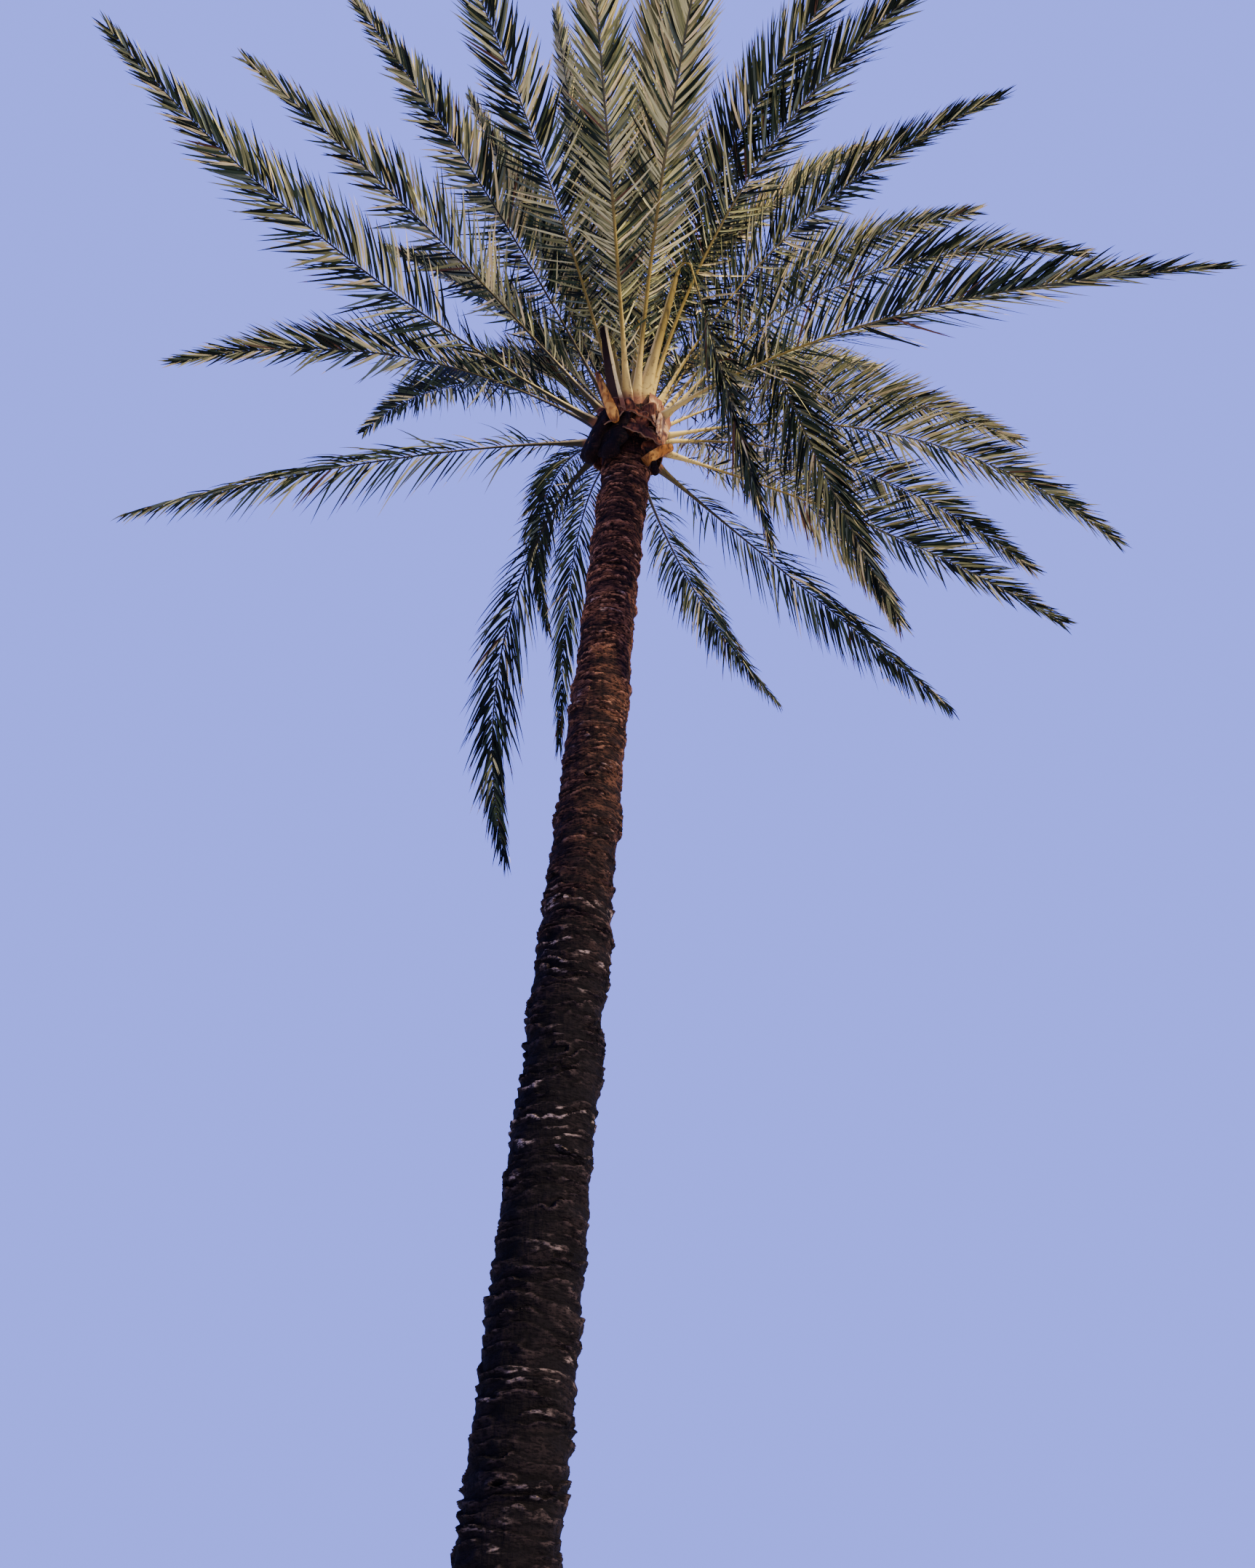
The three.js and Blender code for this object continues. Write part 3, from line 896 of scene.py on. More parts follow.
# The fronds, placed by the same values as the solids
FRONDS = [
    Frond("a", 208, 12, -15, 4.3, 24, roll=20, sweep=16, tone=-0.1, bare=0.30),
    Frond("b", 212, 39, 15, 3.8, 42, roll=-15, tone=0.35, full=0.9, bare=0.27),
    Frond("c", 214, 60, 20, 4.3, 57, roll=10, sweep=5, tone=0.1, full=1.25, bare=0.22),
    Frond("c2", 196, 72, 5, 4.2, 70, sweep=10, habit=Habit.YOUNG, tone=0.2),
    Frond("d", 240, 60, 45, 4.3, 54, roll=12, sweep=5, tone=-0.1),
    Frond("e", 240, 72, 5, 4.0, 74, roll=-20, sweep=10, habit=Habit.YOUNG, tone=0.3),
    Frond("f", 263, 56, 25, 4.2, 52, habit=Habit.YOUNG, tone=0.2, stout=1.4),
    Frond("g", 277, 68, 45, 4.3, 70, roll=10, habit=Habit.YOUNG, tone=0.8, stout=1.4),
    Frond("h", 281, 62, 75, 4.1, 55, roll=-10, habit=Habit.YOUNG, tone=0.6, stout=1.5),
    Frond("i", 302, 67, 90, 4.3, 70, sweep=5, cut=0.56, tone=-0.3, full=1.15, stout=1.3),
    Frond("j", 311, 68, 90, 4.3, 57, roll=15, sweep=5, cut=0.56, tone=-0.4, full=1.15, stout=1.3),
    Frond("k", 336, 63, 58, 4.15, 58, roll=15, sweep=2, tone=-0.3, full=1.2),
    Frond("k2", 345, 80, 55, 4.15, 71, sweep=10, habit=Habit.YOUNG, tone=0.6),
    Frond("l", 2, 70, 65, 4.2, 62, roll=-15, sweep=-10, tone=0.1, full=1.2),
    Frond("m", 346, 55, 84, 4.0, 40, roll=25, sweep=7, tone=-0.2),
    Frond("n", 328, 23, 55, 4.1, 30, roll=35, sweep=5, bend=0.5, tone=-0.2),
    Frond("q", 32, 60, 35, 3.9, 62, roll=-20, tone=0.8, full=1.3),
    Frond("r", 22, 50, 75, 3.9, 52, sweep=-10, tone=0.5, full=1.2),
    Frond("s", 15, 32, 80, 4.3, 37, roll=10, cut=0.56, tone=0.1),
    Frond("t", 31, 36, 75, 4.1, 40, roll=-10, sweep=-11, cut=0.56, tone=-0.1),
    Frond("u", 26, 7, 30, 3.8, 20, roll=15, sweep=-5, tone=-0.2),
    Frond("v", 44, -3, 0, 3.85, 10, roll=-15, habit=Habit.OLD, tone=-0.5, full=0.8),
    Frond("w", 77, 18, 15, 4.2, 20, roll=20, sweep=-20, habit=Habit.OLD, tone=-0.3),
    Frond("x", 146, -5, 110, 3.95, 19, sweep=-25, habit=Habit.OLD,
          bend=0.5, cut=0.5, tone=-0.9, full=0.75),
    Frond("y", 106, 46, 125, 4.2, 40, roll=10, sweep=-15, habit=Habit.OLD,
          cut=0.52, tone=-0.8, full=0.75),
    Frond("x2", 120, 46, 65, 4.05, 54, sweep=-40, habit=Habit.OLD, cut=0.54, tone=-0.7),
    Frond("aa", 175, 44, 65, 3.95, 44, roll=-20, sweep=5, tone=-0.3, bare=0.26),
    Frond("bb", 151, 56, 43, 4.25, 56, roll=10, sweep=-21, tone=-0.6),
    Frond("cc", 176, 10, 15, 3.85, 16, roll=-10, sweep=-10, habit=Habit.OLD,
          bend=0.5, tone=0.2, full=0.55),
    Frond("b2", 164, 64, 20, 4.15, 71, habit=Habit.YOUNG, tone=-0.3),
    Frond("dd", 120, 75, 50, 4.0, 76, roll=20),
    Frond("p2", 47, 48, 95, 4.0, 44, habit=Habit.DRY, cut=0.54, tone=0.5),
    Frond("n1", 62, 70, 30, 4.1, 66, roll=15, tone=0.5, full=1.2),
    Frond("n2", 88, 76, 30, 4.0, 78, roll=-15, habit=Habit.YOUNG, tone=0.5),
    Frond("n4", 134, 70, 40, 4.1, 46),
    Frond("n5", 15, 80, 25, 3.9, 78, roll=10, habit=Habit.YOUNG, tone=0.8),
    Frond("n6", 170, 80, 30, 3.9, 82, habit=Habit.YOUNG),
    Frond("spear_1", 225, 86, 6, 3.0, 88, habit=Habit.SPEAR),
    Frond("spear_2", 60, 83, 10, 2.7, 85, habit=Habit.SPEAR),
    Frond("o", 297, 56, 0, 4.35, 60, habit=Habit.BROKEN,
          fold=0.24, toward=5, fall=82, cut=0.31, tone=-0.5, stout=2.7, bare=0.38),
    Frond("p", 351, 62, 15, 4.25, 50, habit=Habit.BROKEN,
          fold=0.3, toward=42, fall=71, spring=25, cut=0.37, tone=-0.1, stout=1.2, bare=0.37),
]


def loft(name: str, frond: Frond, t: np.ndarray, section: np.ndarray, wide: np.ndarray,
         deep: np.ndarray) -> bpy.types.Object:
    """Lofts a stalk along a frond's middle line, closed at both ends.

    Args:
        name: The name of the stalk.
        frond: The frond.
        t: Shares of its length, one for each ring.
        section: The corners across and up, either of each ring or one set for all.
        wide: What each ring's corners are scaled by across.
        deep: What they are scaled by upwards.

    Returns:
        The stalk, with its reach from the heart stored on it.
    """
    _, side, up = frond.axes(t)
    points = (frond.places(t)[:, None]
              + side[:, None] * (section[..., 0] * wide[:, None])[..., None]
              + up[:, None] * (section[..., 1] * deep[:, None])[..., None])
    rings, sides = points.shape[:2]
    piece = sheet_mesh(name, points.reshape(-1, 3), tube_faces(rings, sides))
    upright(piece)
    store(piece.data, "reach", np.repeat(np.maximum(t, 0) * frond.long, sides))
    return piece


@dataclass
class RibShape:
    """The section of a rib and how it thins from its clasping base to its tip."""

    wide: float = 0.022
    deep: float = 0.034
    clasp: float = 0.026
    clasp_reach: float = 0.13
    root: float = 0.13
    petiole: tuple = ((-1, .26), (-.82, -.22), (-.42, -.47), (0, -.53), (.42, -.47),
                      (.82, -.22), (1, .26), (.55, .2), (0, .08), (-.55, .2))
    backs: tuple = (0, .35, 1, 1, 1, .35, 0, 0, .3, 0)
    blade: tuple = ((-1, -.12), (-.82, -.38), (-.42, -.5), (0, -.52), (.42, -.5),
                    (.82, -.38), (1, -.12), (.5, .2), (0, .5), (-.5, .2))

    def size(self, t: np.ndarray) -> tuple[np.ndarray, np.ndarray]:
        """The rib's size along its length.

        Args:
            t: Shares of the frond's length.

        Returns:
            Half its width and its depth, at each share.
        """
        c = np.maximum(t, 0.0)
        wide = self.wide * (0.12 + 0.34 * (1 - c) + 0.54 * np.exp(-c / 0.09))
        deep = self.deep * (0.16 + 0.44 * (1 - c) + 0.4 * np.exp(-c / 0.1))
        return wide, deep

    def backs_of(self, frond: Frond) -> np.ndarray:
        """How much each corner of the section is the rib's back, with its far edge, away from the
        light, added as painted shade.
        """
        near = np.array(self.petiole)[:, 0] * -math.cos(math.radians(frond.az))
        return np.maximum(self.backs, np.clip(-2.5 * near, 0, 1))

    def stations(self, frond: Frond) -> np.ndarray:
        """Where along a frond its rib has a section.

        Args:
            frond: The frond.

        Returns:
            Shares of its length, in order.
        """
        base = np.linspace(-self.root / frond.long, 0.12, 12)
        rest = np.linspace(0.14, 0.999, 42)
        bend = [] if frond.fold is None else np.linspace(frond.fold - 0.01, frond.fold + 0.07, 14)
        return np.unique(np.concatenate([base, rest, bend]))

    def build(self, frond: Frond) -> bpy.types.Object:
        """Lofts the rib of one frond.

        Args:
            frond: The frond.

        Returns:
            The rib, with its shading stored on it.
        """
        t = self.stations(frond)
        stout = frond.stout
        if frond.fold is not None:
            stout = stout + (1 - stout) * steady(frond.fold - 0.04, frond.fold + 0.02, t)
        wide, deep = (stout * each for each in self.size(t))
        wide = wide + self.clasp * np.exp(-np.maximum(t, 0) * frond.long / self.clasp_reach)
        open_share = steady(0.08, 0.24, t)[:, None, None]
        section = np.array(self.petiole) * (1 - open_share) + np.array(self.blade) * open_share
        rib = loft(f"rib_{frond.name}", frond, t, section, wide, deep)
        # Painted shade: ribs that face away from the light, and old fronds that hang in shade
        away = float(steady(-0.30, 0.50, -math.cos(math.radians(frond.az - LIGHT_AZ))))
        dark = float(steady(0.1, 0.6, -frond.tone)) if frond.habit is Habit.OLD else 0.0
        store(rib.data, "back", np.tile(np.maximum(self.backs_of(frond), dark), len(t)))
        store(rib.data, "painted_shade", np.full(len(rib.data.vertices), max(away, dark)))
        return rib


@dataclass
class Leaflets:
    """The leaflets of a frond, as folded blades in their own outline."""

    pairs: int = 185
    crowding: float = 0.9
    full_length: float = 4.2
    last: float = 0.992
    longest: float = 0.50
    shortest: float = 0.28
    fullest: float = 0.58
    opening: float = 62.0
    closing: float = 44.0
    half_wide: float = 0.0105
    clump: tuple = (0.24, 0.0, -0.24)
    forward: float = 0.12
    lift_spread: float = 9.0
    angle_spread: float = 5.0
    fold: float = 0.42
    stations: tuple = (0.0, 0.07, 0.24, 0.46, 0.68, 0.86, 1.0)
    outline: tuple = (0.30, 0.72, 1.0, 0.94, 0.70, 0.36, 0.0)
    spines: int = 15
    spine_lifts: tuple = (-5, 45)
    spine_angles: tuple = (30, 62)
    spine_lengths: tuple = (0.07, 0.34)
    spine_halves: tuple = (0.004, 0.009)
    seed: int = 11

    def shares(self, frond: Frond, rng: np.random.Generator) -> np.ndarray:
        """Where the leaflets of one side leave the rib.

        Args:
            frond: The frond.
            rng: The frond's own random numbers.

        Returns:
            Shares of the frond's length, in order.
        """
        whole = self.pairs * frond.full * HOLDS[frond.habit].many * frond.long / self.full_length
        count = int(whole * (1 - frond.bare) / (1 - BARE))
        even = (np.arange(count) + 0.5) / count
        shift = (np.resize(self.clump, count) + rng.uniform(-0.2, 0.2, count)) / count
        along = np.clip(even + shift, 0, 1) ** self.crowding
        return frond.bare + (self.last - frond.bare) * along

    def lengths(self, u: np.ndarray) -> np.ndarray:
        """Leaflet lengths at shares of the blade, short at both of its ends."""
        swell = np.sin(np.pi * np.clip(u, 0, 1) ** self.fullest)
        return self.longest * (self.shortest + (1 - self.shortest) * swell)

    def side_of(self, frond: Frond, hand: int, rng: np.random.Generator) -> dict:
        """Works out the leaflets on one side of a frond.

        Args:
            frond: The frond.
            hand: 1 for the left side and -1 for the right.
            rng: The frond's own random numbers.

        Returns:
            Bases, directions, widths and lengths, one row for each leaflet.
        """
        hold = HOLDS[frond.habit]
        t = self.shares(frond, rng)
        u = (t - BARE) / (1 - BARE)
        count = len(t)
        lift = np.resize(hold.lifts, count) + rng.normal(0, self.lift_spread, count)
        angle = (self.opening - self.closing * np.clip(u, 0, 1) ** 1.2) * hold.spread
        angle = angle + rng.normal(0, self.angle_spread, count)
        length = self.lengths(u) * rng.uniform(0.86, 1.10, count) * hold.long
        half = self.half_wide * (0.62 + 0.38 * np.sin(np.pi * np.clip(u, 0.02, 0.9))) * hold.slim
        return self.rows(frond, hand, t, lift, angle, length, half, rng)

    def spine_row(self, frond: Frond, hand: int, rng: np.random.Generator) -> dict:
        """Works out the stiff spines on one edge of a petiole, as side_of does the leaflets.

        Args:
            frond: The frond.
            hand: 1 for the left side and -1 for the right.
            rng: The frond's own random numbers.

        Returns:
            Bases, directions, widths and lengths, one row for each spine.
        """
        t = np.linspace(0.35, 0.98, self.spines) * frond.bare
        t = t + rng.uniform(-0.008, 0.008, self.spines)
        lift = rng.uniform(*self.spine_lifts, self.spines)
        angle = rng.uniform(*self.spine_angles, self.spines)
        length = np.linspace(*self.spine_lengths, self.spines) * rng.uniform(0.7, 1.2, self.spines)
        half = np.linspace(*self.spine_halves, self.spines)
        return self.rows(frond, hand, t, lift, angle, length, half, rng)

    def rows(self, frond: Frond, hand: int, t: np.ndarray, lift: np.ndarray, angle: np.ndarray,
             length: np.ndarray, half: np.ndarray, rng: np.random.Generator) -> dict:
        """Turns angles into directions.

        Args:
            frond: The frond.
            hand: 1 for the left side and -1 for the right.
            t: Shares of the frond's length.
            lift: Angles above the frond's own plane.
            angle: Angles from the rib.
            length: Leaflet lengths.
            half: Half widths.
            rng: The frond's own random numbers.

        Returns:
            Bases, directions, widths and lengths, one row for each leaflet.
        """
        along, side, up = frond.axes(t)
        lift, angle = np.radians(lift), np.radians(angle)
        outward = side * hand * np.cos(lift)[:, None] + up * np.sin(lift)[:, None]
        way = along * np.cos(angle)[:, None] + outward * np.sin(angle)[:, None]
        cross = along * np.sin(angle)[:, None] - outward * np.cos(angle)[:, None]
        face = np.cross(way, cross) * hand
        twist = np.radians(rng.normal(16, 28, len(t)))[:, None] * hand
        width = cross * np.cos(twist) + face * np.sin(twist)
        face = face * np.cos(twist) - cross * np.sin(twist)
        wide, _ = RibShape().size(t)
        base = frond.places(t) + side * (hand * 0.8 * wide)[:, None]
        return {"base": base, "way": way, "width": width, "face": face, "along": along,
                "length": length, "half": half}

    def blades(self, rows: dict, hang: float, rng: np.random.Generator) -> np.ndarray:
        """The points of each blade.

        Args:
            rows: What rows() returns.
            hang: How far a blade's tip hangs, as a share of its length.
            rng: The frond's own random numbers.

        Returns:
            An array of leaflets by points by three: three points at each station but the last.
        """
        count = len(rows["length"])
        s = np.array(self.stations)
        shape = np.array(self.outline)
        length = rows["length"][:, None]
        sag = (hang * rng.uniform(0.5, 1.6, count))[:, None] * length * s ** 2
        bow = rng.normal(0, 0.03, count)[:, None] * length * s ** 2
        middle = (rows["base"][:, None] + rows["way"][:, None] * (length * s)[..., None]
                  + rows["width"][:, None] * bow[..., None]
                  + rows["along"][:, None] * (self.forward * length * s ** 2)[..., None])
        middle[..., 2] -= sag
        half = (rows["half"][:, None] * shape)[..., None]
        across = rows["width"][:, None] * half
        raised = rows["face"][:, None] * half * self.fold
        three = np.stack([middle + across + raised, middle, middle - across + raised], 2)
        points = three[:, :-1].reshape(count, -1, 3)
        return np.concatenate([points, middle[:, -1:]], 1)

    def faces(self) -> list[tuple[int, ...]]:
        """The faces of one blade, the two at its tip last.

        Returns:
            The numbers of its own points, for each face.
        """
        last = 3 * (len(self.stations) - 2)
        found = [(a, a + 1, a + 4, a + 3) for first in range(0, last, 3) for a in (first, first + 1)]
        return found + [(last, last + 1, last + 3), (last + 1, last + 2, last + 3)]

    def tints(self, frond: Frond, count: int, rng: np.random.Generator) -> np.ndarray:
        """Deals a tint to each leaflet, and another to the tips that are dry.

        Args:
            frond: The frond.
            count: How many leaflets it has.
            rng: The frond's own random numbers.

        Returns:
            Tint numbers, leaflets by faces.
        """
        hold = HOLDS[frond.habit]
        # The tone and light tilt the tints towards dark or pale, partly as painted light and shade
        weights = np.array(hold.tints) * np.exp(frond.tone * np.array(PALENESS))
        tint = rng.choice(len(weights), count, p=weights / weights.sum())
        each = np.repeat(tint[:, None], len(self.faces()), 1)
        dry = rng.uniform(0, 1, count) < hold.dry_tip
        brown, straw = (list(Tint).index(tip) for tip in (Tint.BROWN, Tint.STRAW))
        each[dry, -2:] = np.where(rng.uniform(0, 1, dry.sum()) < 0.6, brown, straw)[:, None]
        return each

    def build(self, name: str, fronds: list[Frond]) -> bpy.types.Object:
        """Builds the leaflets of some fronds as one piece.

        Args:
            name: The name of the piece.
            fronds: The fronds.

        Returns:
            The piece, with its tints dealt.
        """
        points, faces, tints = [], [], []
        total = 0
        for frond in fronds:
            rng = np.random.default_rng(self.seed + FRONDS.index(frond))
            hang = HOLDS[frond.habit].hang
            for hand in (1, -1):
                for rows in (self.side_of(frond, hand, rng), self.spine_row(frond, hand, rng)):
                    made = self.blades(rows, hang, rng)
                    faces += repeated(self.faces(), len(made), made.shape[1], total)
                    tints.append(self.tints(frond, len(made), rng).ravel())
                    points.append(made.reshape(-1, 3))
                    total += len(points[-1])
        piece = dress(sheet_mesh(name, np.concatenate(points), faces), *(tint.value for tint in Tint))
        piece.data.polygons.foreach_set("material_index", np.concatenate(tints).astype(np.int32))
        return piece


@dataclass
class Crown:
    """All the fronds, in groups that are each joined into ribs and leaflets."""

    ribs: RibShape = field(default_factory=RibShape)
    leaflets: Leaflets = field(default_factory=Leaflets)
    finish: Rib = Rib()

    def groups(self) -> dict[str, list[Frond]]:
        """Sorts the fronds into groups.

        Returns:
            The fronds of each group, by its name.
        """
        found: dict[str, list[Frond]] = {}
        for frond in FRONDS:
            found.setdefault(self.group_of(frond), []).append(frond)
        return found

    def group_of(self, frond: Frond) -> str:
        """Chooses the group of a frond.

        Args:
            frond: The frond.

        Returns:
            The name of its group.
        """
        if frond.fold is not None:
            return "snapped"
        if frond.habit in (Habit.SPEAR, Habit.YOUNG):
            return "young"
        if frond.habit in (Habit.OLD, Habit.DRY):
            return "old"
        return "left" if 100 < frond.az < 280 else "right"

    def build(self) -> None:
        """Builds the ribs and the leaflets of each group."""
        for name, fronds in self.groups().items():
            ribs = joined(f"{name}_ribs", [self.ribs.build(frond) for frond in fronds])
            nodes = [node for frond in fronds for node in frond.nodes()]
            settle(dress(ribs, self.finish), nodes, 45.0)
            settle(self.leaflets.build(f"{name}_leaflets", fronds), [], None)


@dataclass(frozen=True)
class Sheath:
    """One clasping leaf sheath: a curved shell with a torn lower edge.

    Azimuths run round the heart. The top edge lies on the heart and the torn edge stands out.
    """

    name: str
    az_low: float
    az_high: float
    top: float
    edges: tuple
    radius_top: float
    radius_low: float
    thick: float = 0.008
    ragged: float = 0.016
    lumps: float = 0.006
    corner_cut: float = 0.35
    corner_wide: float = 0.10
    flare: float = 1.4
    across: int = 44
    down: int = 12

    def build(self, seed: int) -> bpy.types.Object:
        """Models the shell.

        Args:
            seed: The seed of its torn edge.

        Returns:
            The shell, with its rim and its shaded upper part stored on it.
        """
        piece, across, up = grid_piece(self.name, self.across, self.down)
        down = 1 - up
        az = np.radians(self.az_low + (self.az_high - self.az_low) * across)
        low = np.interp(across, np.linspace(0, 1, len(self.edges)), self.edges)
        torn = lattice(across * 0.5, across, 24, 2, seed)
        torn = torn + 0.5 * lattice(across * 0.5, across, 56, 2, seed + 1)
        low = low + self.ragged * torn
        side = np.minimum(across, 1 - across)
        low = low + (self.top - low) * self.corner_cut * (1 - steady(0.0, self.corner_wide, side))
        z = self.top + (low - self.top) * down
        r = self.radius_top + (self.radius_low - self.radius_top) * down ** self.flare
        r = r + self.lumps * lattice(across * 0.5, down, 20, 5, seed + 2)
        move_to(piece.data, round_stem(az, r, z))
        store(piece.data, "rim", 0.7 * steady(0.93, 0.99, down))
        store(piece.data, "foot", 1 - steady(0.0, 0.55, down))
        upright(piece)
        wall = piece.modifiers.new("wall", "SOLIDIFY")
        wall.thickness = self.thick
        wall.offset = 0.0
        bpy.ops.object.modifier_apply(modifier="wall")
        return piece


@dataclass(frozen=True)
class Stump:
    """A thick petiole base or a tuft on the heart, from one place on it to another.

    Each end is an azimuth, a height and a distance from the middle of the heart.
    """

    name: str
    first: tuple[float, float, float]
    last: tuple[float, float, float]
    wide: tuple[float, float]
    deep: float
    cut: float = 0.0
    rough: float = 0.0
    seed: int = 0
    sides: int = 28
    rings: int = 24

    def build(self) -> bpy.types.Object:
        """Lofts the stump, with a round end unless it is cut.

        Returns:
            The stump, with its shading stored on it.
        """
        share = np.sin(np.linspace(0, np.pi / 2, self.rings))
        first, last = np.array(self.first), np.array(self.last)
        az, z, r = (first + (last - first) * share[:, None]).T
        az = np.radians(az)
        outward = np.stack([np.cos(az), np.sin(az), np.zeros_like(az)], -1)
        middle = outward * r[:, None]
        middle[:, 0] += LEAN * z
        middle[:, 2] = z
        along = np.gradient(middle, axis=0)
        side = np.cross(along, outward)
        side /= np.linalg.norm(side, axis=1)[:, None]
        out = np.cross(side, along)
        out /= np.linalg.norm(out, axis=1)[:, None]
        tip = np.clip((share - 0.8) / 0.21, 0, 1)
        shrink = np.sqrt(1 - (1 - 0.6 * self.cut) * tip ** 2)
        turn = np.linspace(0, 2 * np.pi, self.sides, endpoint=False)
        wide = np.interp(share, (0, 1), self.wide) * shrink
        deep = self.deep * (0.6 + 0.4 * share) * shrink
        ragged = 1 + self.rough * lattice(turn / (2 * np.pi), share[:, None], 9, 5, self.seed)
        ring = (side[:, None] * (ragged * wide[:, None] * np.cos(turn))[..., None]
                + out[:, None] * (ragged * deep[:, None] * np.sin(turn))[..., None])
        piece = sheet_mesh(self.name, (middle[:, None] + ring).reshape(-1, 3),
                           tube_faces(self.rings, self.sides))
        upright(piece)
        store(piece.data, "rim", np.repeat(self.cut * steady(0.97, 1.0, share), self.sides))
        store(piece.data, "foot", np.repeat(0.9 * (1 - steady(0.0, 0.3, share)), self.sides))
        return piece


@dataclass(frozen=True)
class Strands:
    """Thin strands of fibre that stand and hang from the heart.

    Depths are how far out of the core they start, as a range. Outward, swing and climb are where
    they go in their length, and hang is how far they sag.
    """

    count: int = 520
    rings: int = 7
    heights: tuple[float, float] = (9.80, 10.40)
    depths: tuple[float, float] = (-0.01, 0.05)
    lengths: tuple[float, float] = (0.05, 0.17)
    outward: tuple[float, float] = (0.1, 0.9)
    swing: float = 0.6
    climb: tuple[float, float] = (-0.9, 0.6)
    hang: float = 0.7
    halves: tuple[float, float] = (0.0008, 0.0022)
    thinning: float = 0.8

    def build(self, profile: tuple, seed: int) -> bpy.types.Object:
        """Lofts the strands, three-sided and thinner to their tips.

        Args:
            profile: Heights and radii of the core that they start from.
            seed: The seed of their places.

        Returns:
            The strands, as one piece.
        """
        rng = np.random.default_rng(seed)
        az = np.radians(rng.uniform(0, 360, self.count))
        z = rng.uniform(*self.heights, self.count)
        heights, radii = zip(*profile)
        r = np.interp(z, heights, radii) + rng.uniform(*self.depths, self.count)
        s = np.linspace(0, 1, self.rings)
        long = rng.uniform(*self.lengths, self.count)
        out = rng.uniform(*self.outward, self.count)
        swing = rng.normal(0, self.swing, self.count)
        climb = rng.uniform(*self.climb, self.count)
        reach = r[:, None] + (long * out)[:, None] * s
        angle = az[:, None] + (swing * long / r)[:, None] * s
        rise = z[:, None] + (long * climb)[:, None] * s - (long * self.hang)[:, None] * s ** 2
        middle = np.stack([LEAN * z[:, None] + reach * np.cos(angle),
                           reach * np.sin(angle), rise], -1)
        half = rng.uniform(*self.halves, self.count)[:, None] * (1 - self.thinning * s)
        around = np.radians(np.array([90.0, 210.0, 330.0]))
        round_three = np.stack([np.cos(around), np.sin(around), 0.6 * np.sin(around + 1)], -1)
        points = middle[:, :, None] + half[..., None, None] * round_three
        # Reversed, so a face's front is outside where a strand climbs and mostly inside where it falls
        strand = [face[::-1] for face in tube_faces(self.rings, len(around))]
        faces = repeated(strand, self.count, self.rings * len(around))
        return sheet_mesh("loose_fibre", points.reshape(-1, 3), faces)


